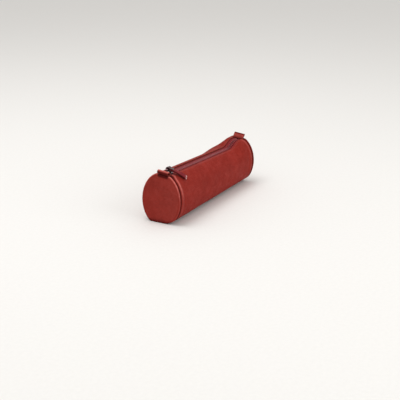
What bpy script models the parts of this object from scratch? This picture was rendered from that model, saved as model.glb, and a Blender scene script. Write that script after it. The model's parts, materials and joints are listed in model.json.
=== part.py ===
"""Round leather pencil case with a zip along its top. Metres, +Z up.

The case lies on its flattened belly. +X runs from the front end, where the slider of the
closed zip sits, to the rear end. The origin is on the table, under the middle of the case.

Two coordinates run over the case's surface. "s" is the distance from the front end along the
case. "arc" is the distance round the section from the zip's centre line, + towards +Y.
"""
import math

import bmesh
import bpy
import numpy as np
from mathutils import Matrix, Vector

# The case: an egg-shaped oval in section, leaning towards -Y, pressed flat underneath.
CASE_LENGTH = 0.2100
END_WIDTH = 0.0556
END_HEIGHT = 0.0642
FLAT_DEPTH = 0.0061
FLAT_BLEND = 0.0026
CREST_EASE = 0.0010
EGG_SHARE = -0.011
LEAN = math.radians(6.6)

# The leather, and how far it sags from the ends' section between them.
LEATHER = 0.0013
WAIST = 0.0008
DISC_BULGE = 0.0010
CREST_DIP = 0.0079
DIP_END_SHARE = 0.814
RISE_END_SHARE = 0.925
NEAR_LEVEL = 0.0120
NEAR_REACH = 0.0430
FAR_REACH = 0.0411
REAR_REACH = 0.0255
REACH_START_SHARE = 0.54
REACH_END_SHARE = 0.79
CREST_BLEND = 0.0140

# The turned seams between the tube and its end discs.
SEAM_ALLOWANCE = 0.0050
FOLD_GAP = 0.0008
GROOVE_DEPTH = 0.0008
GROOVE_LENGTH = 0.0046
RIDGE_RISE = 0.0010
RIDGE_LENGTH = 0.0050
RIDGE_EASE = 0.0060
TAB_EASE = 0.0080

# Clearances: between sewn pieces, round the sliding parts, and under the leather.
GAP = 0.0003
RUN_GAP = 0.00025
TAPE_DROP = 0.00045
SEAT_GAP = 0.0002

# The zip.
CHAIN_WIDTH = 0.0059
TOOTH_REACH = 0.00085
TOOTH_PITCH = 0.0030
TOOTH_LENGTH = 0.0012
TOOTH_HEIGHT = 0.0024
TOOTH_DRAFT = 0.0001
CORD_WIDTH = 0.0019
CORD_HEIGHT = 0.0017
TAPE_WIDTH = 0.0090
TAPE_CORNER = 0.0014
TAPE = 0.0006

# The slider.
SLIDER_LENGTH = 0.0124
PLATE = 0.0009
FLANGE = 0.0008
POST_WIDTH = 0.0013
POST_LENGTH = 0.0040
POST_TIP_SHARE = 0.25
SPLIT_LENGTH = 0.0065
SPLIT_START = 0.0022
MOUTH_GAP = 0.00035
SLIDER_BEVEL = 0.0003
OVERCUT = 0.0031

# The crown on the slider, and the pull on the crown: a metal clamp with a leather strip.
CROWN_LENGTH = 0.0114
CROWN_WIDTH = 0.0028
CROWN_BAR = 0.0017
CROWN_WINDOW = 0.0088
CROWN_LIFT = 0.0020
CROWN_BEVEL = 0.0006
ARCH_POWER = 0.46
CLAMP = 0.0008
CLAMP_WIDTH = 0.0056
CLAMP_SHARE = 0.22
CLAMP_SWEEP = math.radians(120.0)
PULL_LEATHER = 0.0018
PULL_WIDTH = 0.0066
STRIP_SHARE = 0.07
PULL_RUN = 0.0150
PULL_ARC = 0.0195
PULL_LIFT = 0.0009
PULL_START = 0.0024
PULL_LEAVE = 0.0060
PULL_APPROACH_SHARE = 0.33

# The tabs sewn into the end seams.
TAB_LEATHER = 0.0009
TAB_WIDTH = 0.0156
TAB_BEND = 0.0020
FRONT_TAB_REACH = 0.0025
FRONT_TAB_LEAN = math.radians(72.0)
FRONT_TAB_FOLD = 0.0021
REAR_TAB_REACH = 0.0040
REAR_TAB_LEAN = math.radians(42.0)
REAR_TAB_FOLD = 0.0010
TAB_LAYER_GAP = 0.00015

# How finely the curved pieces are divided.
OUTLINE_STEPS = 1440
HALF_COLUMNS = 20
COLUMN_CROWDING = 1.35
FRONT_SHARES = (0.0, 0.009, 0.022, 0.042, 0.075)
RISE_SHARES = (0.785, 0.957)
REAR_SHARES = (0.978, 0.991, 1.0)
LEVEL_ROWS = 8
RISE_ROWS = 10
ROLL_STEPS = 3
TAPE_COLUMNS = 4
SLIDER_STEPS = 5
BEVEL_STEPS = 2
ARCH_STEPS = 16
WINDOW_STEPS = 12
PULL_STEPS = 9
CLAMP_STEPS = 3
LOOP_STEPS = 9
TAB_STEPS = 4
FOLD_STEPS = 6
RING_SHARES = (0.40, 0.76)
PROBE = 0.00001
PROBE_SHARE = 0.02
SMOOTH_ANGLE = math.radians(40.0)
BEVEL_ANGLE = math.radians(50.0)

# Colours, as linear red, green and blue.
LEATHER_COLOUR = (0.262, 0.032, 0.025)
TAPE_COLOUR = (0.130, 0.016, 0.020)
METAL_COLOUR = (0.110, 0.085, 0.085)

# Worked out from the above.
CREST_OUT = Vector((0, -math.sin(LEAN), math.cos(LEAN)))
CREST_SIDE = Vector((0, math.cos(LEAN), math.sin(LEAN)))
DISC_EDGE = 2 * LEATHER + FOLD_GAP
DISC_ROLL = DISC_EDGE / 2
BODY_ROLL = LEATHER + FOLD_GAP / 2
TAB_DOUBLE = 2 * TAB_LEATHER + TAB_LAYER_GAP
TAB_BACK = DISC_EDGE + GAP + TAB_DOUBLE
CHAIN_HALF = CHAIN_WIDTH / 2
SPLIT = POST_WIDTH / 2 + RUN_GAP + TOOTH_REACH
SLIDER_HALF = CHAIN_HALF + SPLIT + RUN_GAP + FLANGE
SLIDER_TALL = TOOTH_HEIGHT + 2 * RUN_GAP + 2 * PLATE
MOUTH_HALF = SLIDER_HALF + MOUTH_GAP
CREST_HALF = MOUTH_HALF + LEATHER
HALF_WIDTH = END_WIDTH / 2
CREST_TURN = math.asin((CREST_HALF + GAP) / HALF_WIDTH)
CREST_PRESS = CREST_EASE + END_HEIGHT / 2 * (1 - math.cos(CREST_TURN))
HALF_TALL = (END_HEIGHT + FLAT_DEPTH + CREST_PRESS) / 2
CHAIN_DEPTH = LEATHER + TAPE_DROP + TAPE / 2
CHAIN_START = TAB_BACK + GAP
SLIDER_REST = CHAIN_START + GAP + SLIDER_LENGTH / 2
BAR_REACH = math.hypot(CROWN_WIDTH, CROWN_BAR) / 2
CLAMP_LOOP = BAR_REACH + GAP + CLAMP / 2
BAR_HEIGHT = CLAMP_LOOP + CLAMP / 2 + 2 * RUN_GAP + CROWN_LIFT


def clear_scene():
    """Start from an empty file."""
    for thing in list(bpy.data.objects):
        bpy.data.objects.remove(thing, do_unlink=True)
    for group in list(bpy.data.collections):
        bpy.data.collections.remove(group)


def collection(name):
    """A new collection in the scene."""
    group = bpy.data.collections.new(name)
    bpy.context.scene.collection.children.link(group)
    return group


def material(name, colour, roughness, metallic=0.0):
    """A Principled surface in the piece's own colour."""
    surface = bpy.data.materials.new(name)
    surface.use_nodes = True
    shader = surface.node_tree.nodes["Principled BSDF"]
    shader.inputs["Base Color"].default_value = (*colour, 1.0)
    shader.inputs["Roughness"].default_value = roughness
    shader.inputs["Metallic"].default_value = metallic
    surface.diffuse_color = (*colour, 1.0)
    return surface


def leather(name):
    """The case's red-brown leather."""
    return material(name, LEATHER_COLOUR, 0.50)


def tape_cloth(name):
    """The zip tapes' dark woven cloth."""
    return material(name, TAPE_COLOUR, 0.85)


def dark_metal(name):
    """The zip's dark plated metal."""
    return material(name, METAL_COLOUR, 0.30, 1.0)


def smoothstep(value):
    """0 below 0, 1 above 1, and a smooth rise between."""
    value = min(max(value, 0.0), 1.0)
    return value * value * (3.0 - 2.0 * value)


def mix(start, end, share):
    """The value a share of the way from start to end."""
    return start + (end - start) * share


def press_flat(height, blend):
    """Heights below a plane come up to it, with a rounded corner."""
    if height >= blend:
        return height
    if height <= -blend:
        return 0.0
    return (height + blend) ** 2 / (4 * blend)


def oval_point(angle):
    """The end's outline at an angle round it, a quarter turn being the crest.

    The oval is pressed flat at its crest, where the zip lies level, and on the table.
    """
    across = HALF_WIDTH * math.cos(angle) * (1 + EGG_SHARE * math.sin(angle))
    top = HALF_TALL - CREST_PRESS
    up = top - press_flat(top - HALF_TALL * math.sin(angle), CREST_EASE)
    y = -across * math.cos(LEAN) - up * math.sin(LEAN)
    z = up * math.cos(LEAN) - across * math.sin(LEAN)
    return y, press_flat(z + HALF_TALL - FLAT_DEPTH, FLAT_BLEND)


OUTLINE_TURNS = [math.pi / 2 + math.tau * step / OUTLINE_STEPS for step in range(OUTLINE_STEPS + 1)]
OUTLINE = [oval_point(turn) for turn in OUTLINE_TURNS]
OUTLINE_Y = [point[0] for point in OUTLINE]
OUTLINE_Z = [point[1] for point in OUTLINE]
OUTLINE_RUN = np.concatenate([[0], np.cumsum(np.hypot(np.diff(OUTLINE_Y), np.diff(OUTLINE_Z)))])
PERIMETER = float(OUTLINE_RUN[-1])


def signed_arc(arc):
    """The arc as + on the +Y side of the zip and - on the -Y side."""
    arc = arc % PERIMETER
    return arc if arc <= PERIMETER / 2 else arc - PERIMETER


def section_point(arc):
    """A point of the end's outline, at a distance round it."""
    y = float(np.interp(arc % PERIMETER, OUTLINE_RUN, OUTLINE_Y))
    z = float(np.interp(arc % PERIMETER, OUTLINE_RUN, OUTLINE_Z))
    return Vector((0, y, z))


def section_inward(arc):
    """The unit direction into the case, square to the section's outline."""
    along = section_point(arc + PROBE) - section_point(arc - PROBE)
    return Vector((0, along.z, -along.y)).normalized()


def dip(s):
    """How far the crest has sunk: steadily from the front, then up again before the rear end."""
    turn = DIP_END_SHARE * CASE_LENGTH
    if s <= turn:
        return CREST_DIP * s / turn
    rise = (RISE_END_SHARE - DIP_END_SHARE) * CASE_LENGTH
    share = min((s - turn) / rise, 1.0)
    fall = 2 * share ** 3 - 3 * share ** 2 + 1
    run_on = share ** 3 - 2 * share ** 2 + share
    return CREST_DIP * (fall + run_on * rise / turn)


def dip_share(s, arc):
    """How much of the crest's dip a place shares. The far shoulder stands up near the rear."""
    side = signed_arc(arc)
    rearward = (s / CASE_LENGTH - REACH_START_SHARE) / (REACH_END_SHARE - REACH_START_SHARE)
    if side > 0:
        level = CREST_HALF
        reach = mix(FAR_REACH, REAR_REACH, smoothstep(rearward))
    else:
        level = NEAR_LEVEL
        reach = NEAR_REACH
    return 1 - smoothstep((abs(side) - level) / (reach - level))


def surface_point(s, arc):
    """A point on the leather's outer face, between the end seams."""
    place = section_point(arc)
    behind = min(s, CASE_LENGTH - s) - seam_plane(arc)
    slack = RIDGE_RISE * smoothstep((behind - RIDGE_LENGTH) / RIDGE_EASE)
    slack += GROOVE_DEPTH * (1 - smoothstep(behind / GROOVE_LENGTH))
    slack += WAIST * math.sin(math.pi * s / CASE_LENGTH) ** 2
    off_crest = smoothstep((abs(signed_arc(arc)) - CREST_HALF) / CREST_BLEND)
    off_table = smoothstep(place.z / HALF_WIDTH)
    place += section_inward(arc) * slack * off_crest * off_table
    place -= CREST_OUT * dip(s) * dip_share(s, arc)
    return place + Vector((s - CASE_LENGTH / 2, 0, 0))


def surface_out(s, arc):
    """The unit direction out of the leather's outer face."""
    along = surface_point(s + PROBE, arc) - surface_point(s - PROBE, arc)
    around = surface_point(s, arc + PROBE) - surface_point(s, arc - PROBE)
    return along.cross(around).normalized()


def buried_point(s, arc, depth):
    """A point under the leather's outer face, or over it where depth is negative."""
    return surface_point(s, arc) - depth * surface_out(s, arc)


def seam_plane(arc):
    """How far from the end the tube's turned edge lies. It makes room for the tab at the crest."""
    room = 1 - smoothstep((abs(signed_arc(arc)) - TAB_WIDTH / 2 - GAP) / TAB_EASE)
    return DISC_EDGE + GAP + room * (TAB_DOUBLE + GAP)


def zip_point(s, side, height):
    """A point of the zip: its distance beside the centre line, and above the tape's middle."""
    centre = surface_point(s, 0) - CHAIN_DEPTH * CREST_OUT
    return centre + side * CREST_SIDE + height * CREST_OUT


def zip_split(s):
    """How far each row is held from the centre line, which it is only inside the slider."""
    ahead = SLIDER_REST + SPLIT_START - s
    return SPLIT * smoothstep(ahead / SPLIT_LENGTH)


def slider_frame():
    """The slider's place on the closed zip: x along the zip, z out of the case."""
    centre = zip_point(SLIDER_REST, 0, 0)
    ahead = (zip_point(SLIDER_REST + SLIDER_LENGTH, 0, 0) - centre).normalized()
    upward = ahead.cross(CREST_SIDE)
    turn = Matrix((ahead, CREST_SIDE, upward)).transposed().to_4x4()
    return Matrix.Translation(centre) @ turn


def add_mesh(name, vertices, faces, surface, group):
    """Make an object from points and faces, smooth where it is round."""
    mesh = bpy.data.meshes.new(name)
    mesh.from_pydata(vertices, [], faces)
    mesh.validate()
    mesh.materials.append(surface)
    mesh.shade_smooth()
    mesh.set_sharp_from_angle(angle=SMOOTH_ANGLE)
    thing = bpy.data.objects.new(name, mesh)
    group.objects.link(thing)
    return thing


def add_skin(name, rows, surface, group, thickness, offset=-1.0, closed=False, hub=None):
    """Stretch a sheet over rows of points and give it its thickness.

    The sheet's outer face is the one that looks along (row to row) x (point to point). A closed
    sheet joins each row's ends, and a hub closes the first row round one point.
    """
    width = len(rows[0])
    vertices = [point for row in rows for point in row]
    last = width if closed else width - 1
    faces = []
    for row in range(len(rows) - 1):
        for column in range(last):
            beside = (column + 1) % width
            here = row * width
            there = here + width
            faces.append((here + column, there + column, there + beside, here + beside))
    if hub is not None:
        vertices.append(hub)
        for column in range(width):
            faces.append((len(vertices) - 1, column, (column + 1) % width))
    thing = add_mesh(name, vertices, faces, surface, group)
    shell = thing.modifiers.new("Thickness", "SOLIDIFY")
    shell.thickness = thickness
    shell.offset = offset
    shell.use_even_offset = True
    return thing


def add_plate(name, outline, low, high, surface, group):
    """A flat outline raised from low to high."""
    curve = bpy.data.curves.new(name, "CURVE")
    curve.dimensions = "2D"
    curve.fill_mode = "BOTH"
    curve.extrude = (high - low) / 2
    line = curve.splines.new("POLY")
    line.points.add(len(outline) - 1)
    for point, (x, y) in zip(line.points, outline):
        point.co = (x, y, 0, 1)
    line.use_cyclic_u = True
    flat = bpy.data.objects.new(name + "_outline", curve)
    group.objects.link(flat)
    bpy.context.view_layer.update()
    evaluated = flat.evaluated_get(bpy.context.evaluated_depsgraph_get())
    mesh = bpy.data.meshes.new_from_object(evaluated)
    bpy.data.objects.remove(flat, do_unlink=True)
    shape = bmesh.new()
    shape.from_mesh(mesh)
    bmesh.ops.remove_doubles(shape, verts=shape.verts, dist=PROBE)
    bmesh.ops.translate(shape, verts=shape.verts, vec=(0, 0, (low + high) / 2))
    shape.to_mesh(mesh)
    shape.free()
    mesh.name = name
    mesh.materials.clear()
    mesh.materials.append(surface)
    plate = bpy.data.objects.new(name, mesh)
    group.objects.link(plate)
    return plate


def hide_cutter(cutter):
    """Keep a cutter out of the pictures."""
    cutter.hide_render = True
    cutter.display_type = "WIRE"


def cut(thing, cutter):
    """Take the cutter's shape out of a piece."""
    hide_cutter(cutter)
    boolean = thing.modifiers.new("Cut " + cutter.name, "BOOLEAN")
    boolean.operation = "DIFFERENCE"
    boolean.solver = "EXACT"
    boolean.object = cutter


def bevel(thing, width):
    """Round a piece's sharp edges."""
    edge = thing.modifiers.new("Rounded edges", "BEVEL")
    edge.width = width
    edge.segments = BEVEL_STEPS
    edge.limit_method = "ANGLE"
    edge.angle_limit = BEVEL_ANGLE


def panel_arcs():
    """Places round the tube from one zip edge to the other, closer together near the zip."""
    half = PERIMETER / 2 - MOUTH_HALF
    shares = [(step / HALF_COLUMNS) ** COLUMN_CROWDING for step in range(HALF_COLUMNS + 1)]
    near = [MOUTH_HALF + half * share for share in shares]
    return near + [PERIMETER - arc for arc in reversed(near[:-1])]


def row_shares():
    """Places along the tube, closer together at its ends and where the crest rises."""
    first, last = RISE_SHARES
    shares = list(FRONT_SHARES)
    shares += [mix(FRONT_SHARES[-1], first, row / LEVEL_ROWS) for row in range(1, LEVEL_ROWS)]
    shares += [mix(first, last, row / RISE_ROWS) for row in range(RISE_ROWS + 1)]
    return shares + list(REAR_SHARES)


def edge_profile():
    """The tube's turned edge as (distance behind the seam, depth), from the inside outwards."""
    profile = [(0, SEAM_ALLOWANCE)]
    for step in range(ROLL_STEPS + 1):
        turn = math.pi / 2 * step / ROLL_STEPS
        behind = BODY_ROLL * (1 - math.cos(turn))
        profile.append((behind, BODY_ROLL * (1 - math.sin(turn))))
    return profile


def make_body_panel(group):
    """The wrapped leather panel: a tube that is open along the zip, its ends turned in."""
    arcs = panel_arcs()
    rows = []
    for behind, depth in edge_profile():
        rows.append([edge_point(arc, behind, depth, False) for arc in arcs])
    for share in row_shares()[1:-1]:
        row = []
        for arc in arcs:
            margin = seam_plane(arc) + BODY_ROLL
            s = mix(margin, CASE_LENGTH - margin, share)
            row.append(surface_point(s, arc))
        rows.append(row)
    for behind, depth in reversed(edge_profile()):
        rows.append([edge_point(arc, behind, depth, True) for arc in arcs])
    return add_skin("body_panel", rows, leather("body_leather"), group, LEATHER)


def edge_point(arc, behind, depth, rear):
    """A point of the tube's turned edge, at either end."""
    s = seam_plane(arc) + behind
    place = surface_point(CASE_LENGTH - s if rear else s, arc)
    return place + depth * section_inward(arc)


def make_end_disc(name, rear, group):
    """A round end: a slightly bulged face whose edge rolls over and lies back inside the seam."""
    arcs = panel_arcs()
    middle = Vector((0, 0, END_HEIGHT / 2))
    profile = []
    for step in range(2 * ROLL_STEPS + 1):
        turn = math.pi * step / (2 * ROLL_STEPS)
        profile.append((DISC_ROLL * (1 - math.cos(turn)), DISC_ROLL * (1 - math.sin(turn))))
    profile.append((DISC_EDGE, SEAM_ALLOWANCE))
    rows = []
    for share in RING_SHARES:
        row = []
        for arc in arcs:
            rim = section_point(arc) + DISC_ROLL * section_inward(arc)
            bulge = Vector((-DISC_BULGE * (1 - share ** 2), 0, 0))
            row.append(middle + (rim - middle) * share + bulge)
        rows.append(row)
    for s, depth in profile:
        along = Vector((s, 0, 0))
        rows.append([section_point(arc) + depth * section_inward(arc) + along for arc in arcs])
    hub = middle - Vector((DISC_BULGE, 0, 0))
    if rear:
        rows = [[flip_x(point) for point in reversed(row)] for row in rows]
        hub = flip_x(hub)
    toward = CASE_LENGTH / 2 if rear else -CASE_LENGTH / 2
    shift = Vector((toward, 0, 0))
    rows = [[point + shift for point in row] for row in rows]
    surface = leather(name + "_leather")
    return add_skin(name, rows, surface, group, LEATHER, closed=True, hub=hub + shift)


def flip_x(point):
    """The same point at the other end of the case."""
    return Vector((-point.x, point.y, point.z))


def make_zip_tape(name, sign, group):
    """The tape on one side: from the teeth's cord to under the leather, sewn in at its ends."""
    clear_seam = seam_plane(MOUTH_HALF) + LEATHER + GAP
    first = clear_seam + TAPE_CORNER
    stations = [CHAIN_START, clear_seam]
    stations += [mix(first, CASE_LENGTH - first, share) for share in row_shares()]
    stations += [CASE_LENGTH - clear_seam, CASE_LENGTH - CHAIN_START]
    rows = []
    for s in stations:
        inner = CHAIN_HALF + GAP + zip_split(s)
        under_edge = min(s, CASE_LENGTH - s) > clear_seam + GAP
        outer = CHAIN_HALF + TAPE_WIDTH if under_edge else MOUTH_HALF - GAP
        sides = [mix(inner, outer, column / TAPE_COLUMNS) for column in range(TAPE_COLUMNS + 1)]
        if sign < 0:
            sides = [-side for side in reversed(sides)]
        rows.append([buried_point(s, side, LEATHER + TAPE_DROP) for side in sides])
    return add_skin(name, rows, tape_cloth(name + "_cloth"), group, TAPE)


def make_zip_row(name, sign, group):
    """One row of teeth clamped on its cord. The two rows mesh half a pitch apart."""
    cord = (CHAIN_HALF - CORD_WIDTH, CORD_HEIGHT)
    tooth = (-TOOTH_REACH, TOOTH_HEIGHT)
    run = CASE_LENGTH - 2 * CHAIN_START
    count = int((run - TOOTH_PITCH) / TOOTH_PITCH)
    start = CHAIN_START + (TOOTH_PITCH / 2 if sign > 0 else 0) + TOOTH_DRAFT
    stations = [(CHAIN_START, cord)]
    for index in range(count):
        s = start + index * TOOTH_PITCH + TOOTH_DRAFT
        stations.append((s, cord))
        stations.append((s + TOOTH_DRAFT, tooth))
        stations.append((s + TOOTH_DRAFT + TOOTH_LENGTH, tooth))
        stations.append((s + 2 * TOOTH_DRAFT + TOOTH_LENGTH, cord))
    stations.append((CASE_LENGTH - CHAIN_START, cord))
    vertices = []
    for s, (inner, tall) in stations:
        held = zip_split(s)
        for side, height in ((inner, -tall), (inner, tall), (CHAIN_HALF, tall), (CHAIN_HALF, -tall)):
            vertices.append(zip_point(s, sign * (side + held), height / 2))
    faces = [(0, 1, 2, 3)]
    for ring in range(len(stations) - 1):
        here = 4 * ring
        there = here + 4
        for corner in range(4):
            beside = (corner + 1) % 4
            faces.append((here + corner, there + corner, there + beside, here + beside))
    end = 4 * (len(stations) - 1)
    faces.append((end + 3, end + 2, end + 1, end))
    if sign < 0:
        faces = [tuple(reversed(face)) for face in faces]
    return add_mesh(name, vertices, faces, dark_metal(name + "_metal"), group)


def split_at(x):
    """How far the rows stand apart at a place in the slider, x from its middle."""
    return zip_split(SLIDER_REST + x)


def make_slider_body(frame, group, cutters):
    """The slider: two plates and their flanges round a Y-shaped channel, with the wedge post."""
    nose = -SLIDER_LENGTH / 2
    tail = SLIDER_LENGTH / 2
    bends = [SPLIT_START - SPLIT_LENGTH * (1 - step / SLIDER_STEPS) for step in range(SLIDER_STEPS + 1)]
    stations = [nose] + bends + [tail]
    edge = [(x, CHAIN_HALF + split_at(x) + RUN_GAP + FLANGE) for x in stations]
    surface = dark_metal("slider_metal")
    top = SLIDER_TALL / 2
    block = add_plate("slider_body", round_corners(edge), -top, top, surface, group)
    bevel(block, SLIDER_BEVEL)
    before_nose = nose - OVERCUT
    behind_tail = tail + OVERCUT
    post_back = nose + POST_LENGTH
    post_half = POST_WIDTH / 2
    post_side = [(before_nose, post_half), (mix(nose, post_back, 0.5), post_half)]
    post_side += [(post_back, post_half * POST_TIP_SHARE), (post_back, -RUN_GAP)]
    post_side.append((behind_tail, -RUN_GAP))
    for sign, side in ((-1, "left"), (1, "right")):
        wall = [(x, CHAIN_HALF + split_at(x) + RUN_GAP) for x in reversed(stations)]
        wall = [(behind_tail, wall[0][1])] + wall + [(before_nose, wall[-1][1])]
        channel = [(x, sign * y) for x, y in post_side + wall]
        tall = TOOTH_HEIGHT / 2 + RUN_GAP
        cut(block, add_plate("channel_" + side, channel, -tall, tall, surface, cutters))
        inner = sign * CHAIN_HALF
        outer = sign * (SLIDER_HALF + OVERCUT)
        slot = [(before_nose, inner), (behind_tail, inner)]
        slot += [(behind_tail, outer), (before_nose, outer)]
        room = TAPE / 2 + GAP
        cut(block, add_plate("tape_slot_" + side, slot, -room, room, surface, cutters))
    for thing in [block] + list(cutters.objects):
        thing.matrix_world = frame
    return block


def round_corners(edge):
    """The slider's plan from one edge: the other edge mirrored, the nose and tail drawn in."""
    corner = FLANGE
    first_x, first_y = edge[0]
    last_x, last_y = edge[-1]
    side = [(first_x, first_y - corner), (first_x + corner, first_y)]
    side += edge[1:-1]
    side += [(last_x - corner, last_y), (last_x, last_y - corner)]
    return side + [(x, -y) for x, y in reversed(side)]


def arch(half, tall, steps):
    """A squared-off arch from +half to -half: a superellipse."""
    points = []
    for step in range(steps + 1):
        turn = math.pi * step / steps
        x = math.copysign(abs(math.cos(turn)) ** ARCH_POWER, math.cos(turn))
        points.append((half * x, tall * math.sin(turn) ** ARCH_POWER))
    return points


def make_crown(frame, group):
    """The arch over the slider's upper plate that the pull hangs on."""
    outer = arch(CROWN_LENGTH / 2, BAR_HEIGHT + CROWN_BAR / 2, ARCH_STEPS)
    inner = arch(CROWN_WINDOW / 2, BAR_HEIGHT - CROWN_BAR / 2, WINDOW_STEPS)
    outline = outer + list(reversed(inner))
    half = CROWN_WIDTH / 2
    crown = add_plate("slider_crown", outline, -half, half, dark_metal("crown_metal"), group)
    bevel(crown, CROWN_BEVEL)
    stand_up = Matrix.Rotation(math.pi / 2, 4, "X")
    seat = Matrix.Translation((0, 0, SLIDER_TALL / 2 + SEAT_GAP))
    crown.matrix_world = frame @ seat @ stand_up
    return crown


def pull_centre():
    """The pull's swing axis passes here, along the crown's bar."""
    return slider_frame() @ Vector((0, 0, SLIDER_TALL / 2 + SEAT_GAP + BAR_HEIGHT))


def pull_point(share):
    """The pull's middle line, from beside the bar down to the shoulder, as a Bezier curve."""
    beside = slider_frame().to_3x3() @ Vector((0, 1, 0))
    start = pull_centre() - beside * PULL_START
    first = start - beside * PULL_LEAVE
    land_s = SLIDER_REST + PULL_RUN
    land_depth = -(GAP + PULL_LIFT + PULL_LEATHER / 2)
    end = buried_point(land_s, -PULL_ARC, land_depth)
    before_s = land_s - PULL_RUN * PULL_APPROACH_SHARE
    before_arc = -PULL_ARC * (1 - PULL_APPROACH_SHARE)
    second = buried_point(before_s, before_arc, land_depth - PULL_LEATHER / 2)
    rest = 1 - share
    ends = rest ** 3 * start + share ** 3 * end
    return ends + 3 * rest * share * (rest * first + share * second)


def pull_place(share):
    """A point on the pull's middle line, the direction out of its face, and the one across it."""
    point = pull_point(share)
    way = pull_point(min(share + PROBE_SHARE, 1)) - pull_point(max(share - PROBE_SHARE, 0))
    way.normalize()
    above = slider_frame().to_3x3() @ Vector((0, 0, 1))
    out = mix(above, surface_out(SLIDER_REST + PULL_RUN, -PULL_ARC), smoothstep(share))
    width = out.cross(way).normalized()
    return point, way.cross(width), width


def add_ribbon(name, path, width, thickness, surface, group):
    """A strip of sheet along a path of (point, direction across), its origin on the swing axis."""
    centre = pull_centre()
    half = width / 2
    rows = [[point - across * half - centre, point + across * half - centre] for point, across in path]
    ribbon = add_skin(name, rows, surface, group, thickness, offset=0.0)
    ribbon.matrix_world = Matrix.Translation(centre)
    return ribbon


def make_pull_clamp(group):
    """A metal strip bent round the crown's bar, its two jaws over and under the leather."""
    centre = pull_centre()
    turned = slider_frame().to_3x3()
    along = turned @ Vector((1, 0, 0))
    beside = turned @ Vector((0, 1, 0))
    above = turned @ Vector((0, 0, 1))
    jaw = (PULL_LEATHER + CLAMP) / 2 + SEAT_GAP
    places = [pull_place(CLAMP_SHARE * step / CLAMP_STEPS) for step in range(CLAMP_STEPS + 1)]
    path = [(point - out * jaw, across) for point, out, across in reversed(places)]
    for step in range(LOOP_STEPS + 1):
        turn = mix(-CLAMP_SWEEP, CLAMP_SWEEP, step / LOOP_STEPS)
        point = centre + CLAMP_LOOP * (math.cos(turn) * beside + math.sin(turn) * above)
        path.append((point, along))
    path += [(point + out * jaw, across) for point, out, across in places]
    return add_ribbon("pull_clamp", path, CLAMP_WIDTH, CLAMP, dark_metal("clamp_metal"), group)


def make_pull_strip(group):
    """The leather strip from between the clamp's jaws, lying over the -Y shoulder."""
    path = []
    for step in range(PULL_STEPS + 1):
        point, out, across = pull_place(mix(STRIP_SHARE, 1, step / PULL_STEPS))
        path.append((point, across))
    return add_ribbon("pull_strip", path, PULL_WIDTH, PULL_LEATHER, leather("pull_leather"), group)


def tab_profile(reach, lean, fold):
    """The tab's middle line from the seam outwards: forward, outward, the way there, half apart."""
    layer = (TAB_LEATHER + TAB_LAYER_GAP) / 2
    points = [(0, -SEAM_ALLOWANCE + GAP, 0, layer), (0, GAP, 0, layer)]
    for step in range(1, TAB_STEPS + 1):
        turn = lean * step / TAB_STEPS
        apart = mix(layer, fold, (step / TAB_STEPS) ** 2 / 2)
        points.append((TAB_BEND * (1 - math.cos(turn)), GAP + TAB_BEND * math.sin(turn), turn, apart))
    forward, outward, turn, apart = points[-1]
    points.append((forward + reach * math.sin(turn), outward + reach * math.cos(turn), turn, fold))
    return points


def make_tab(name, rear, reach, lean, fold, group):
    """A strip folded double, its ends in the seam and its round fold leaning over the disc."""
    profile = tab_profile(reach, lean, fold)
    tip_forward, tip_outward, tip_turn, tip_apart = profile[-1]
    line = [(forward - apart * math.cos(turn), outward + apart * math.sin(turn))
            for forward, outward, turn, apart in profile[:-1]]
    for step in range(FOLD_STEPS + 1):
        spin = math.pi * step / FOLD_STEPS
        ahead = tip_apart * math.sin(spin)
        across = -tip_apart * math.cos(spin)
        forward = tip_forward + across * math.cos(tip_turn) + ahead * math.sin(tip_turn)
        outward = tip_outward - across * math.sin(tip_turn) + ahead * math.cos(tip_turn)
        line.append((forward, outward))
    line += [(forward + apart * math.cos(turn), outward - apart * math.sin(turn))
             for forward, outward, turn, apart in reversed(profile[:-1])]
    seat = DISC_EDGE + GAP + TAB_DOUBLE / 2
    crest = section_point(0)
    surface = leather(name + "_leather")
    half = TAB_WIDTH / 2 * CREST_SIDE
    rows = []
    for forward, outward in line:
        x = seat - forward - CASE_LENGTH / 2
        place = crest + outward * CREST_OUT + Vector((x, 0, 0))
        if rear:
            place = flip_x(place)
        rows.append([place - half, place + half])
    return add_skin(name, rows, surface, group, TAB_LEATHER, offset=0.0)


def parent_to(child, empty):
    """Hang a piece on its joint's empty without moving it."""
    place = child.matrix_world.copy()
    child.parent = empty
    child.matrix_parent_inverse = empty.matrix_world.inverted()
    child.matrix_world = place


def add_joint_empty(name, matrix, group):
    """An empty on a joint's axis, x along the zip."""
    empty = bpy.data.objects.new(name, None)
    empty.empty_display_size = SLIDER_LENGTH
    group.objects.link(empty)
    empty.matrix_world = matrix
    return empty


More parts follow.
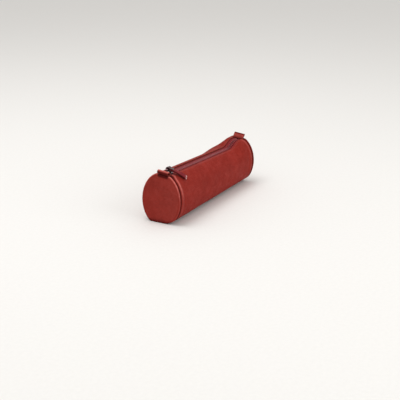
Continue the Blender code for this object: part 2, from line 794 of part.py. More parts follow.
def main():
    """Build the whole case."""
    clear_scene()
    case = collection("round_pencil_case")
    cutters = collection("cutters")
    make_body_panel(case)
    make_end_disc("end_disc_front", False, case)
    make_end_disc("end_disc_rear", True, case)
    make_zip_tape("zip_tape_left", -1, case)
    make_zip_tape("zip_tape_right", 1, case)
    make_zip_row("zip_row_left", -1, case)
    make_zip_row("zip_row_right", 1, case)
    make_tab("tab_front", False, FRONT_TAB_REACH, FRONT_TAB_LEAN, FRONT_TAB_FOLD, case)
    make_tab("tab_rear", True, REAR_TAB_REACH, REAR_TAB_LEAN, REAR_TAB_FOLD, case)
    frame = slider_frame()
    hinge = Matrix.Translation(pull_centre()) @ frame.to_3x3().to_4x4()
    slide = add_joint_empty("slider_slide", frame, case)
    swing = add_joint_empty("pull_swing", hinge, case)
    bpy.context.view_layer.update()
    body = make_slider_body(frame, case, cutters)
    crown = make_crown(frame, case)
    clamp = make_pull_clamp(case)
    strip = make_pull_strip(case)
    for child, empty in ((body, slide), (crown, slide), (clamp, swing), (strip, swing)):
        parent_to(child, empty)
    swing.parent = slide
    swing.matrix_parent_inverse = slide.matrix_world.inverted()
    bpy.context.view_layer.update()


main()
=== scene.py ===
"""The round leather pencil case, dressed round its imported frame. Metres, +Z up.

The leather, the zip's cloth and its teeth are built here in fine detail over the plain solids
that they replace. The slider's metal pieces are the frame's own, with their finish added.

Two coordinates run over the case's surface, as in the frame's source. "s" is the distance from
the front end along the case. "arc" is the distance round the section from the zip's centre
line, + towards +Y.
"""

import json
import math

import bpy
import numpy as np
from bpy.props import FloatProperty, FloatVectorProperty, PointerProperty
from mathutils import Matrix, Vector

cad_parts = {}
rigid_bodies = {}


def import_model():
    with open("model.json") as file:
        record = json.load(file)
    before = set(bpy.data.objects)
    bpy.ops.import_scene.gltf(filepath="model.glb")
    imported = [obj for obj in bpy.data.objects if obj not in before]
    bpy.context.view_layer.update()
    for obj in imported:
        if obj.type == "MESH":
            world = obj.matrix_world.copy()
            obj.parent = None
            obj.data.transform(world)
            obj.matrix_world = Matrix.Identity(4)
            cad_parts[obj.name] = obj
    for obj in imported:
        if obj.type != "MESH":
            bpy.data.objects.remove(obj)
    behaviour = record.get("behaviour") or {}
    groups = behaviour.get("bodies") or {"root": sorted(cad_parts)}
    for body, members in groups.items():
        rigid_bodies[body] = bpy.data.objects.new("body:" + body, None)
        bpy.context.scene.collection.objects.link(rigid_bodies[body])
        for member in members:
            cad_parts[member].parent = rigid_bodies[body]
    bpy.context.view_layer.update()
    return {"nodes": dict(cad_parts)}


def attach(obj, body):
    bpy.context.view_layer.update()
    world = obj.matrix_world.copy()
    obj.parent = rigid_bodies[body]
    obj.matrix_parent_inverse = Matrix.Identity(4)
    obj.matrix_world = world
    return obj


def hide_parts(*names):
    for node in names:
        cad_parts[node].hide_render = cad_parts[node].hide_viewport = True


bl_info = {
    "name": "Round leather pencil case",
    "version": (1, 0, 0),
    "blender": (4, 5, 0),
    "location": "3D View > Sidebar > Pencil Case",
    "description": "Builds a round leather pencil case with a zip, a pull and two tabs",
    "category": "Add Mesh",
}

for thing in list(bpy.data.objects):
    bpy.data.objects.remove(thing, do_unlink=True)
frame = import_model()

# The two sides of the zip, and the two ends with whether each is the rear one.
SIDES = (("left", -1), ("right", 1))
ENDS = (("front", False), ("rear", True))

# The frame's own sizes, which the pieces here keep to.
CASE_LENGTH = 0.2100
END_WIDTH = 0.0556
END_HEIGHT = 0.0642
FLAT_DEPTH = 0.0061
FLAT_BLEND = 0.0026
CREST_EASE = 0.0010
EGG_SHARE = -0.011
LEAN = math.radians(6.6)
LEATHER = 0.0013
WAIST = 0.0008
DISC_BULGE = 0.0010
CREST_DIP = 0.0079
DIP_END_SHARE = 0.814
RISE_END_SHARE = 0.925
NEAR_LEVEL = 0.0120
NEAR_REACH = 0.0430
FAR_REACH = 0.0411
REAR_REACH = 0.0255
REACH_START_SHARE = 0.54
REACH_END_SHARE = 0.79
CREST_BLEND = 0.0140
SEAM_ALLOWANCE = 0.0050
FOLD_GAP = 0.0008
GROOVE_DEPTH = 0.0008
GROOVE_LENGTH = 0.0046
RIDGE_RISE = 0.0010
RIDGE_LENGTH = 0.0050
RIDGE_EASE = 0.0060
TAB_EASE = 0.0080
GAP = 0.0003
RUN_GAP = 0.00025
TAPE_DROP = 0.00045
SEAT_GAP = 0.0002
CHAIN_WIDTH = 0.0059
TOOTH_REACH = 0.00085
TOOTH_PITCH = 0.0030
TOOTH_LENGTH = 0.0012
TOOTH_HEIGHT = 0.0024
TOOTH_DRAFT = 0.0001
CORD_WIDTH = 0.0019
CORD_HEIGHT = 0.0017
TAPE_WIDTH = 0.0090
TAPE = 0.0006
TAPE_CORNER = 0.0014
SLIDER_LENGTH = 0.0124
PLATE = 0.0009
FLANGE = 0.0008
POST_WIDTH = 0.0013
SPLIT_LENGTH = 0.0065
SPLIT_START = 0.0022
MOUTH_GAP = 0.00035
CROWN_WIDTH = 0.0028
CROWN_BAR = 0.0017
CROWN_LIFT = 0.0020
CLAMP = 0.0008
PULL_LEATHER = 0.0018
PULL_WIDTH = 0.0066
STRIP_SHARE = 0.07
PULL_RUN = 0.0150
PULL_ARC = 0.0195
PULL_LIFT = 0.0009
PULL_START = 0.0024
PULL_LEAVE = 0.0060
PULL_APPROACH_SHARE = 0.33
TAB_LEATHER = 0.0009
TAB_WIDTH = 0.0156
TAB_BEND = 0.0020
TAB_LAYER_GAP = 0.00015
OUTLINE_STEPS = 1440
PROBE = 0.00001
PROBE_SHARE = 0.02

# Each tab's length beyond its bend, how far it leans, and half the width of its fold.
FRONT_TAB = (0.0025, math.radians(72.0), 0.0021)
REAR_TAB = (0.0040, math.radians(42.0), 0.0010)

# Worked out from the above.
CREST_OUT = np.array([0, -math.sin(LEAN), math.cos(LEAN)])
CREST_SIDE = np.array([0, math.cos(LEAN), math.sin(LEAN)])
DISC_EDGE = 2 * LEATHER + FOLD_GAP
DISC_ROLL = DISC_EDGE / 2
BODY_ROLL = LEATHER + FOLD_GAP / 2
TAB_DOUBLE = 2 * TAB_LEATHER + TAB_LAYER_GAP
TAB_BACK = DISC_EDGE + GAP + TAB_DOUBLE
CHAIN_HALF = CHAIN_WIDTH / 2
SPLIT = POST_WIDTH / 2 + RUN_GAP + TOOTH_REACH
SLIDER_HALF = CHAIN_HALF + SPLIT + RUN_GAP + FLANGE
SLIDER_TALL = TOOTH_HEIGHT + 2 * RUN_GAP + 2 * PLATE
MOUTH_HALF = SLIDER_HALF + MOUTH_GAP
CREST_HALF = MOUTH_HALF + LEATHER
HALF_WIDTH = END_WIDTH / 2
CREST_TURN = math.asin((CREST_HALF + GAP) / HALF_WIDTH)
CREST_PRESS = CREST_EASE + END_HEIGHT / 2 * (1 - math.cos(CREST_TURN))
HALF_TALL = (END_HEIGHT + FLAT_DEPTH + CREST_PRESS) / 2
CHAIN_DEPTH = LEATHER + TAPE_DROP + TAPE / 2
CHAIN_START = TAB_BACK + GAP
SLIDER_REST = CHAIN_START + GAP + SLIDER_LENGTH / 2
BAR_REACH = math.hypot(CROWN_WIDTH, CROWN_BAR) / 2
CLAMP_LOOP = BAR_REACH + GAP + CLAMP / 2
BAR_HEIGHT = CLAMP_LOOP + CLAMP / 2 + 2 * RUN_GAP + CROWN_LIFT

# How finely the pieces are divided.
TUBE_ROWS = 150
TUBE_COLUMNS = 150
CROWDING = 0.60
MOUTH_CROWDING = 0.70
ROLL_STEPS = 8
FLANGE_STEPS = 3
DISC_RINGS = 22
DISC_COLUMNS = 180
RING_POWER = 0.9
TAPE_ROWS = 220
TAPE_END_ROWS = 4
TAPE_COLUMNS = 8
CORD_RINGS = 320
CORD_SIDES = 10
TOOTH_SIDES = 12
STITCH_RINGS = 9
STITCH_SIDES = 8
STRIP_RINGS = 34
STRIP_SIDES = 28
STRIP_CROWDING = 0.75
TAB_STEPS = 12
TAB_SEAM_STEPS = 3
TAB_REACH_STEPS = 5
TAB_COLUMNS = 12

# Where the leather may move: its level parts and the near corner of its belly. Then dents on the
# tube, with the least and most of their length, width, skew and depth. Then hollows on the ends,
# with those of their side, height, width and depth. Then gathers at the seams.
LEVEL_SIDE = 0.0130
LEVEL_BLEND = 0.0120
LEVEL_END = 0.0080
LEVEL_TABLE = 0.0060
NEAR_FLAT_BLEND = 0.0115
NEAR_FLAT_REACH = 0.0160
DENT_COUNT = 18
DENT_SEED = 11
DENT_MARGIN = 0.020
DENT_SPREADS = ((0.010, 0.026), (0.008, 0.018), (-0.5, 0.5), (0.35, 1.0))
HOLLOW_COUNT = 7
HOLLOW_SEEDS = (3, 5)
HOLLOW_SPREADS = ((-0.016, 0.016), (0.012, 0.052), (0.007, 0.013), (0.3, 1.0))
HOLLOW_DEPTH_SHARE = 0.6
HOLLOW_EDGE_SHARE = 0.2
PUCKER_WAVE = 0.0072
PUCKER_REACH = 0.0055
PUCKER_SWAY = ((1.6, 3), (0.9, 5))
PUCKER_POWER = 1.5
DISC_PUCKER_SHARE = 0.6
DISC_PUCKER_SHIFT = 0.0031

# Marks on the leather: rubbing, painted highlights, and painted shade in the seams' grooves,
# at and under the tabs and the pull and near the table. Each is its strength, where it peaks or
# starts, and how far it spreads.
# Rubbing with a painted highlight on the seam's ridge and the front rim, rubbing at the mouth, and
# a painted highlight on the front end's lit side.
RIDGE_WEAR_AND_HIGHLIGHT = (0.75, RIDGE_LENGTH, 0.0016)
MOUTH_WEAR = (0.15, MOUTH_HALF, 0.0009)
RIM_WEAR_AND_HIGHLIGHT = (1.0, 0.0010, 0.0008)
NEAR_DISC_HIGHLIGHT = (0.07, -0.025, 0.050)
# Painted shade on the turned edge, in the seams' grooves, near the table, on the front end under
# its tab, under the front tab's fold, where the tabs go into the seam, and where the pull leaves
# its clamp.
TURNED_SHADE = (0.95, 0.0002, 0.0008)
SEAM_SHADE = (0.80, BODY_ROLL, 0.0014)
RIM_SHADE = (0.95, 1.1 * DISC_ROLL, 0.0008)
RESTING_SHADE = (0.80, 0.0, 0.0070)
TAB_SHADE = (0.90, 0.0026, 0.0022)
TAB_SHADE_SIDE = (1.0, TAB_WIDTH / 2 - 0.0010, 0.0015)
TAB_UNDERSIDE_SHADE = (0.85, 0.0, 0.0016)
TAB_SEAM_SHADE = (1.0, -0.0006, 0.0010)
CLAMP_SHADE = (0.35, 0.0, 0.12)
# Pale spots on the top face at the pull's end.
TIP_SPOTS = (1.2, 0.62, 0.22)
# How strongly the seams' rubbing and painted highlights show, higher up and low down.
HIGH_SEAM_HIGHLIGHT = (0.85, 0.030, 0.018)
LOW_SEAM_HIGHLIGHT = 0.15
DISC_WEAR = 0.035
# How much of their rubbing, highlights and painted shade the rear seams keep, and the painted
# shade on the rear end's rim.
REAR_MARKS = 0.35
REAR_RIM_SHADE = 0.45
# Rubbing on the tabs' side edges. The front tab's fold: rubbing and a painted highlight. The rear
# tab: painted lighter, with painted shade at its tip.
TAB_EDGE_WEAR = 0.25
FRONT_TIP_WEAR_AND_HIGHLIGHT = 0.70
REAR_TAB_PAINTED_LIGHT = 0.20
REAR_TIP_SHADE = 0.65
TAB_TIP_REACH = 0.0011
STRIP_TIP_WEAR = 0.15
STRIP_TIP_REACH = 0.0016
# The pull's dark edges: edge paint, which also stands in for the shadow beside the strip.
STRIP_EDGE_PAINT_AND_SHADE = 0.75
EDGE_POWER = 8
STRIP_EDGE_POWER = 6

# The small shapes of the sewing, the cord, the teeth, the strip and the tabs.
STITCH_SEEDS = {-1: 22, 1: 21}
STITCH_START = 0.0120
STITCH_GROOVE = 0.00016
STITCH_GROOVE_WIDTH = 0.0007
STITCH_GROOVE_EASE = 0.003
STITCH_DRIFT = 0.00008
STITCH_STRAY = 0.00006
STITCH_SLANT = 0.00008
STITCH_DIVE = 1.15
STITCH_STAND = 0.10
STITCH_TAPER = 0.25
THREAD_FLAT = 0.85
CORD_LAY = 0.05
CORD_TWIST = 0.0011
TOOTH_SQUARE = 0.55
STRIP_SQUARE = 0.30
STRIP_TIP_ROUND = 0.0006
STRIP_TIP_SHARE = 0.86
TAB_OPEN_POWER = 0.8
SOFT_EDGE_SHARE = 0.3
BEVEL_ANGLE = math.radians(50.0)

# Along a tooth from its jaws' outer end, as shares of its reach, its length and its height.
TOOTH_SHAPE = np.array((
    (1.00, 0.62, 0.70), (0.985, 0.86, 0.90), (0.94, 1.00, 0.98), (0.80, 1.00, 1.00),
    (0.58, 1.00, 1.00), (0.50, 0.94, 0.96), (0.42, 0.80, 0.86), (0.30, 0.76, 0.80),
    (0.20, 0.84, 0.82), (0.12, 0.96, 0.84), (0.05, 0.94, 0.80), (0.015, 0.78, 0.66),
    (0.0, 0.5, 0.42)))

# Noise in the materials: the size of its marks, its detail and its roughness.
CLOUDS = (0.030, 4.0, 0.55)
BLOTCHES = (0.0075, 4.0, 0.6)
RUBBED_PATCHES = (0.0035, 3.0, 0.6)
SOFT_SWELLS = (0.0042, 3.0, 0.5)
CLOTH_FUZZ = (0.0009, 4.0, 0.6)
THREAD_CLOUDS = (0.004, 2.0, 0.5)
PLATING_CLOUDS = (0.0022, 4.0, 0.6)
BRUSHING = (0.0012, 4.0, 0.65)
PAPER_FIBRES = (0.004, 4.0, 0.6)

# Bare leather: the noise of its fibres and of its patches, the levels at which patches are dyed,
# fibres are shaded and they are rough, and the strength and depth of its bump.
NAPPED_FACE = ((0.0006, 5.0, 0.7), (0.012, 3.0, 0.5), (0.3, 0.7, 0.0, 0.6),
               (0.35, 0.7, 0.35, 0.0), (0.2, 0.8, 0.80, 0.95), (0.6, 0.00012))
CUT_FIBRES = ((0.00035, 5.0, 0.7), (0.0028, 3.0, 0.5), (0.35, 0.65, 0.6, 1.0),
              (0.40, 0.70, 0.4, 0.0), (0.3, 0.7, 0.55, 0.75), (0.5, 0.0001))

# Levels in the materials: where a value starts and ends, and what those become if not 0 and 1.
CLOUDY = (0.30, 0.70)
MOTTLED = (0.44, 0.72, 0.0, 0.32)
CREASED = (0.0, 0.75, 0.55, 0.0)
PATCHY = (0.28, 0.58, 0.45, 1.0)
LEATHER_ROUGH = (0.3, 0.7, 0.52, 0.40)
WOVEN = (0.15, 0.85)
FUZZY = (0.45, 0.75, 0.0, 0.30)
CLOTH_ROUGH = (0.3, 0.7, 0.74, 0.88)
TWISTED = (0.1, 0.9, 0.45, 0.0)
FADED = (0.4, 0.7, 0.0, 0.3)
THREAD_ROUGH = (0.0, 1.0, 0.62, 0.48)
PLATED = (0.35, 0.65)
BRUSHED = (0.55, 0.72, 0.0, 0.5)
FIBROUS = (0.3, 0.7)

# Bumps in the materials: their strength and, but for the leather, how deep they read.
LEATHER_BUMP = 0.55
CLOTH_BUMP = (0.7, 0.00012)
THREAD_BUMP = (0.6, 0.00008)
METAL_BUMP = (0.25, 0.00004)

# The leather's relief. Pebbles are how many times smaller than the grain's size they are, the
# share of them that their creases take up, and their share of the relief.
PEBBLES = ((1.0, 0.22, 0.65), (2.3, 0.25, 0.35))
PEBBLE_DRIFT = 0.35
SWELL_SHARE = 0.8
RUB_POLISH = 0.08
LEATHER_SHINE = 0.02
CLOUD_SHADE = 0.78
PAPER_SHADE = 0.97
PAPER_ROUGH = 0.85

# The tape's weave: the weft's width as a share of the warp's, the threads in a slant, and the
# shares that warp and weft have in the relief. Then the thread's twist.
WEFT_SHARE = 0.8
SLANT_THREADS = 3.0
WEAVE_RELIEF = (0.30, 0.20)
CLOTH_LOOK = {"Specular_IOR_Level": 0.06, "Sheen_Weight": 0.04, "Sheen_Roughness": 0.4}
TWIST = {"Scale": 900.0, "Distortion": 1.5, "Detail": 1.0}

# Plating: its darkest and its lightest as shares of its colour, and its least roughness.
TEETH_PLATING = (0.75, 1.4, 0.31)
SLIDER_PLATING = (0.6, 1.8, 0.15)
BRUSH_STRETCH = (1.0, 6.0, 6.0)
ROUGH_SPREAD = 0.15

# The stage. Each lamp is its name, its place, its width and its power.
FLOOR_HALF = 8.0
LAMPS = (("key", (-0.25, 0.35, 1.5), 0.9, 10.5), ("fill", (0.0, -1.4, 0.55), 1.0, 6.0))
LAMPS_FACE = (0.0, 0.0, 0.03)
SKY_LIGHT = {"Color": (1.0, 0.985, 0.965, 1), "Strength": 0.78}
SKY_SEEN = {"Color": (0.90, 0.895, 0.885, 1), "Strength": 1.0}
CAMERA_PLACE = (-0.9255, -0.5179, 0.3720)
CAMERA_DEGREES = (70.643, 0.044, -60.658)
CAMERA_LENS = 74.23
CAMERA_SHIFT = -0.00115


def smoothstep(value):
    """0 below 0, 1 above 1, and a smooth rise between."""
    value = np.clip(value, 0.0, 1.0)
    return value * value * (3.0 - 2.0 * value)


def rising(value, height, start, reach):
    """0 up to the start, and then a smooth rise to the height."""
    return height * smoothstep((value - start) / reach)


def falling(value, height, start, reach):
    """The height up to the start, and then a smooth fall to 0."""
    return height - rising(value, height, start, reach)


def peak(value, height, place, width):
    """The height at one place, and a smooth fall on both sides of it."""
    return height * np.exp(-((value - place) / width) ** 2)


def mix(start, end, share):
    """The value a share of the way from start to end."""
    return start + (end - start) * share


def unit(vectors):
    """The same directions, one long."""
    return vectors / np.linalg.norm(vectors, axis=-1, keepdims=True)


def points_of(x, y, z):
    """Three arrays of coordinates as one array of points."""
    return np.stack(np.broadcast_arrays(x, y, z), axis=-1).astype(float)


def moved(place, *moves):
    """Points after moves, each given as how far and in which direction."""
    for amount, way in moves:
        place = place + np.asarray(amount)[..., None] * way
    return place


def around(count):
    """Turns spread evenly round a circle."""
    return np.linspace(0, math.tau, count, endpoint=False)


def squared_circle(turns, power):
    """The cosines and sines of a circle that is drawn out towards a square."""
    return [np.sign(part) * np.abs(part) ** power for part in (np.cos(turns), np.sin(turns))]


def press_flat(height, blend):
    """Heights below a plane come up to it, with a rounded corner."""
    rounded = (height + blend) ** 2 / (4 * blend)
    return np.where(height >= blend, height, np.where(height <= -blend, 0.0, rounded))


def end_outline():
    """The ends' outline from the crest round, and the distance run along it."""
    turns = math.pi / 2 + np.linspace(0, math.tau, OUTLINE_STEPS + 1)
    across = HALF_WIDTH * np.cos(turns) * (1 + EGG_SHARE * np.sin(turns))
    top = HALF_TALL - CREST_PRESS
    up = top - press_flat(top - HALF_TALL * np.sin(turns), CREST_EASE)
    y = -across * math.cos(LEAN) - up * math.sin(LEAN)
    z = up * math.cos(LEAN) - across * math.sin(LEAN)
    blend = mix(FLAT_BLEND, NEAR_FLAT_BLEND, smoothstep(-y / NEAR_FLAT_REACH))
    z = press_flat(z + HALF_TALL - FLAT_DEPTH, blend)
    run = np.concatenate([[0], np.cumsum(np.hypot(np.diff(y), np.diff(z)))])
    return y, z, run


OUTLINE_Y, OUTLINE_Z, OUTLINE_RUN = end_outline()
PERIMETER = float(OUTLINE_RUN[-1])


def signed_arc(arc):
    """The arc as + on the +Y side of the zip and - on the -Y side."""
    arc = arc % PERIMETER
    return np.where(arc <= PERIMETER / 2, arc, arc - PERIMETER)


def from_zip(arc):
    """How far round the section a place lies from the zip's centre line."""
    return np.abs(signed_arc(arc))


def to_end(s):
    """How far a place lies from the nearer end."""
    return np.minimum(s, CASE_LENGTH - s)


def to_seam(s, arc):
    """How far a place lies behind the nearer end seam."""
    return to_end(s) - seam_plane(arc)


def off_crest(arc):
    """0 beside the zip and 1 away from it."""
    return rising(from_zip(arc), 1, CREST_HALF, CREST_BLEND)


def section_point(arc):
    """Points of the end's outline, at distances round it."""
    y = np.interp(arc % PERIMETER, OUTLINE_RUN, OUTLINE_Y)
    z = np.interp(arc % PERIMETER, OUTLINE_RUN, OUTLINE_Z)
    return points_of(0.0, y, z)


def section_inward(arc):
    """The unit direction into the case, square to the section's outline."""
    along = section_point(arc + PROBE) - section_point(arc - PROBE)
    return unit(points_of(0.0, along[..., 2], -along[..., 1]))


def dip(s):
    """How far the crest has sunk: steadily from the front, then up again before the rear end."""
    turn = DIP_END_SHARE * CASE_LENGTH
    rise = (RISE_END_SHARE - DIP_END_SHARE) * CASE_LENGTH
    share = np.clip((s - turn) / rise, 0.0, 1.0)
    fall = 2 * share ** 3 - 3 * share ** 2 + 1
    run_on = share ** 3 - 2 * share ** 2 + share
    return CREST_DIP * np.where(s <= turn, s / turn, fall + run_on * rise / turn)


def dip_share(s, arc):
    """How much of the crest's dip a place shares. The far shoulder stands up near the rear."""
    side = signed_arc(arc)
    rearward = (s / CASE_LENGTH - REACH_START_SHARE) / (REACH_END_SHARE - REACH_START_SHARE)
    level = np.where(side > 0, CREST_HALF, NEAR_LEVEL)
    reach = np.where(side > 0, mix(FAR_REACH, REAR_REACH, smoothstep(rearward)), NEAR_REACH)
    return falling(np.abs(side), 1, level, reach - level)


def seam_plane(arc):
    """How far from the end the tube's turned edge lies. It makes room for the tab at the crest."""
    room = falling(from_zip(arc), 1, TAB_WIDTH / 2 + GAP, TAB_EASE)
    return DISC_EDGE + GAP + room * (TAB_DOUBLE + GAP)


def surface_point(s, arc):
    """Points on the leather's outer face, between the end seams."""
    place = section_point(arc)
    behind = to_seam(s, arc)
    slack = rising(behind, RIDGE_RISE, RIDGE_LENGTH, RIDGE_EASE)
    slack = slack + falling(behind, GROOVE_DEPTH, 0, GROOVE_LENGTH)
    slack = slack + WAIST * np.sin(math.pi * s / CASE_LENGTH) ** 2
    slack = slack * off_crest(arc) * smoothstep(place[..., 2] / HALF_WIDTH)
    sunk = dip(s) * dip_share(s, arc)
    place = moved(place, (slack, section_inward(arc)), (-sunk, CREST_OUT))
    return place + points_of(s - CASE_LENGTH / 2, 0.0, 0.0)


def surface_out(s, arc):
    """The unit direction out of the leather's outer face."""
    along = surface_point(s + PROBE, arc) - surface_point(s - PROBE, arc)
    across = surface_point(s, arc + PROBE) - surface_point(s, arc - PROBE)
    return unit(np.cross(along, across))


def buried_point(s, arc, depth):
    """Points under the leather's outer face, or over it where depth is negative."""
    return moved(surface_point(s, arc), (-np.asarray(depth), surface_out(s, arc)))


def zip_split(s):
    """How far each row is held from the centre line, which it is only inside the slider."""
    return SPLIT * smoothstep((SLIDER_REST + SPLIT_START - s) / SPLIT_LENGTH)


def zip_centre(s):
    """Points on the zip's centre line, at the middle of its tape."""
    s = np.asarray(s, dtype=float)
    return surface_point(s, np.zeros_like(s)) - CHAIN_DEPTH * CREST_OUT


def zip_upward(s):
    """The direction out of the case, square to the zip's centre line."""
    s = np.asarray(s, dtype=float)
    return unit(np.cross(zip_centre(s + PROBE) - zip_centre(s - PROBE), CREST_SIDE))


def slider_axes():
    """The slider's middle at rest, and the directions along the zip, across it and out."""
    centre = zip_centre(SLIDER_REST)
    ahead = unit(zip_centre(SLIDER_REST + SLIDER_LENGTH) - centre)
    return centre, ahead, CREST_SIDE, np.cross(ahead, CREST_SIDE)


def draw_rows(seed, count, *spreads):
    """Rows of random values, each value between the least and the most of its spread."""
    draw = np.random.default_rng(seed)
    return [[draw.uniform(*spread) for spread in spreads] for _ in range(count)]


def dents(s, arc, depth):
    """Shallow dents that handling leaves in the leather, as depths under the plain surface."""
    places = [(DENT_MARGIN, size - DENT_MARGIN) for size in (CASE_LENGTH, PERIMETER)]
    drawn = draw_rows(DENT_SEED, DENT_COUNT, *places, *DENT_SPREADS)
    total = np.zeros(np.broadcast(s, arc).shape)
    for at_s, at_arc, long, wide, skew, share in drawn:
        ahead = (s - at_s) / long
        across = (signed_arc(arc - at_arc) + skew * (s - at_s)) / wide
        total = np.maximum(total, share * np.exp(-ahead ** 2 - across ** 2))
    return depth * total * loose_share(s, arc)


def loose_share(s, arc):
    """1 where the leather hangs free, and 0 at the zip, at the end seams and on the table."""
    free = rising(from_zip(arc), 1, LEVEL_SIDE, LEVEL_BLEND)
    free = free * rising(to_end(s), 1, LEVEL_END, LEVEL_END)
    return free * rising(section_point(arc)[..., 2], 1, LEVEL_TABLE / 4, LEVEL_TABLE)


def puckers(behind, arc, depth):
    """Small gathers where the leather is drawn into its end seams, as depths."""
    turn = math.tau * arc / PERIMETER
    sway = sum(size * np.sin(waves * turn) for size, waves in PUCKER_SWAY)
    ripple = (1 + np.sin(round(PERIMETER / PUCKER_WAVE) * turn + sway)) / 2
    off_table = smoothstep(section_point(arc)[..., 2] / LEVEL_TABLE)
    fade = np.exp(-np.maximum(behind, 0.0) / PUCKER_REACH)
    return depth * ripple ** PUCKER_POWER * off_crest(arc) * off_table * fade


def crowded(steps, crowding=CROWDING):
    """Shares from 0 to 1, closer together at both ends."""
    even = np.linspace(0, 1, steps + 1)
    return even - crowding * np.sin(math.tau * even) / math.tau


def add_object(name, vertices, faces, materials, marks=None):
    """Make a smooth object. Marks are named values at its points, for its material."""
    mesh = bpy.data.meshes.new(name)
    mesh.from_pydata(vertices.tolist(), [], faces)
    for mark, values in (marks or {}).items():
        layer = mesh.attributes.new(mark, "FLOAT", "POINT")
        layer.data.foreach_set("value", values.astype(np.float32))
    for surface in materials:
        mesh.materials.append(surface)
    mesh.shade_smooth()
    made = bpy.data.objects.new(name, mesh)
    bpy.context.scene.collection.objects.link(made)
    return made


def spread_marks(marks, shape):
    """Each mark's values, one for each point of an array of points."""
    return {mark: np.ravel(np.broadcast_to(values, shape)) for mark, values in marks.items()}


def grid_faces(rows, columns, start=0, closed=False):
    """The four-sided faces of a grid of points. Closed joins each row's ends."""
    index = start + np.arange(rows * columns).reshape(rows, columns)
    if closed:
        index = np.concatenate([index, index[:, :1]], axis=1)
    corners = (index[:-1, :-1], index[1:, :-1], index[1:, 1:], index[:-1, 1:])
    return np.stack(corners, axis=-1).reshape(-1, 4).tolist()


def add_sheet(name, points, materials, marks=None, hub=None):
    """A sheet over a grid of points. With a hub its rows are rings, and the first closes there."""
    rows, columns = points.shape[:2]
    vertices = points.reshape(-1, 3)
    faces = grid_faces(rows, columns, closed=hub is not None)
    marks = spread_marks(marks or {}, points.shape[:2])
    if hub is not None:
        vertices = np.concatenate([vertices, [hub]])
        middle = len(vertices) - 1
        faces += [(middle, column, (column + 1) % columns) for column in range(columns)]
        marks = {mark: np.append(values, values[:columns].mean())
                 for mark, values in marks.items()}
    return add_object(name, vertices, faces, materials, marks)


def add_tubes(name, rings, materials, marks=None):
    """Closed tubes from an array of rings, tube by ring by point, each with its ends filled."""
    tubes, count, sides = rings.shape[:3]
    faces = []
    for tube in range(tubes):
        start = tube * count * sides
        faces += grid_faces(count, sides, start, closed=True)
        last = start + (count - 1) * sides
        faces.append(tuple(range(start, start + sides)))
        faces.append(tuple(reversed(range(last, last + sides))))
    marks = spread_marks(marks or {}, rings.shape[:3])
    return add_object(name, rings.reshape(-1, 3), faces, materials, marks)


def thicken(piece, thickness, offset=-1.0, inner=1, rim=2):
    """Give a sheet its thickness. Inner and rim are the places of those faces' materials."""
    shell = piece.modifiers.new("Thickness", "SOLIDIFY")
    shell.thickness = thickness
    shell.offset = offset
    shell.use_even_offset = True
    shell.material_offset = inner
    shell.material_offset_rim = rim


def round_edges(piece, width, segments=3):
    """Round a piece's sharp edges."""
    edge = piece.modifiers.new("Rounded edges", "BEVEL")
    edge.width = width
    edge.segments = segments
    edge.limit_method = "ANGLE"
    edge.angle_limit = BEVEL_ANGLE
    edge.harden_normals = True


def settle(piece, body, slot, *nodes):
    """Hang a finished piece on its body, and hide the nodes that it stands for.

    Its slot is not used.
    """
    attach(piece, body)
    if nodes:
        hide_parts(*nodes)


def add_node(tree, kind, inputs=None, **settings):
    """Add a shader node. Its inputs take values or other nodes' outputs."""
    node = tree.nodes.new(kind)
    for name, value in settings.items():
        setattr(node, name, value)
    for name, value in (inputs or {}).items():
        if isinstance(value, bpy.types.NodeSocket):
            tree.links.new(value, node.inputs[name])
        else:
            node.inputs[name].default_value = value
    return node


def blend_colour(tree, share, first, second):
    """A colour the share of the way from the first to the second."""
    colours = [colour if isinstance(colour, bpy.types.NodeSocket) else (*colour, 1.0)
               for colour in (first, second)]
    inputs = {0: share, 6: colours[0], 7: colours[1]}
    return add_node(tree, "ShaderNodeMix", inputs, data_type="RGBA").outputs[2]


def math_node(tree, operation, *values, clamp=False):
    """The result of a sum on values or outputs."""
    inputs = dict(enumerate(values))
    node = add_node(tree, "ShaderNodeMath", inputs, operation=operation, use_clamp=clamp)
    return node.outputs[0]


def ramp(tree, value, low, high, to_low=0.0, to_high=1.0):
    """A value stretched from one range to another, and held inside it."""
    inputs = {0: value, 1: low, 2: high, 3: to_low, 4: to_high}
    return add_node(tree, "ShaderNodeMapRange", inputs, clamp=True).outputs[0]


def toned(tree, colour, other, value, *levels):
    """A colour drawn towards another by a value, which a ramp with these levels stretches."""
    return blend_colour(tree, ramp(tree, value, *levels), colour, other)


def noise(tree, place, size, detail, rough):
    """Soft noise with marks of about the size given, from 0 to 1."""
    inputs = {"Vector": place, "Scale": 1 / size, "Detail": detail, "Roughness": rough}
    return add_node(tree, "ShaderNodeTexNoise", inputs).outputs[0]


def new_material(name, colour):
    """A material with its node tree, its shader and the place on the piece."""
    surface = bpy.data.materials.new(name)
    surface.use_nodes = True
    surface.diffuse_color = (*colour, 1.0)
    tree = surface.node_tree
    place = add_node(tree, "ShaderNodeTexCoord").outputs["Object"]
    return surface, tree, tree.nodes["Principled BSDF"], place


def finish_shader(tree, shader, colour, roughness, bump, **values):
    """Give a shader its colour, its roughness, its bump and other values by their names.

    The bump is its height, its strength and how deep it reads.
    """
    tree.links.new(colour, shader.inputs["Base Color"])
    tree.links.new(roughness, shader.inputs["Roughness"])
    relief = add_node(tree, "ShaderNodeBump", dict(zip(("Height", "Strength", "Distance"), bump)))
    tree.links.new(relief.outputs[0], shader.inputs["Normal"])
    for name, value in values.items():
        shader.inputs[name.replace("_", " ")].default_value = value


def mark_value(tree, name):
    """A value that the mesh carries at its points."""
    return add_node(tree, "ShaderNodeAttribute", attribute_name=name).outputs["Fac"]


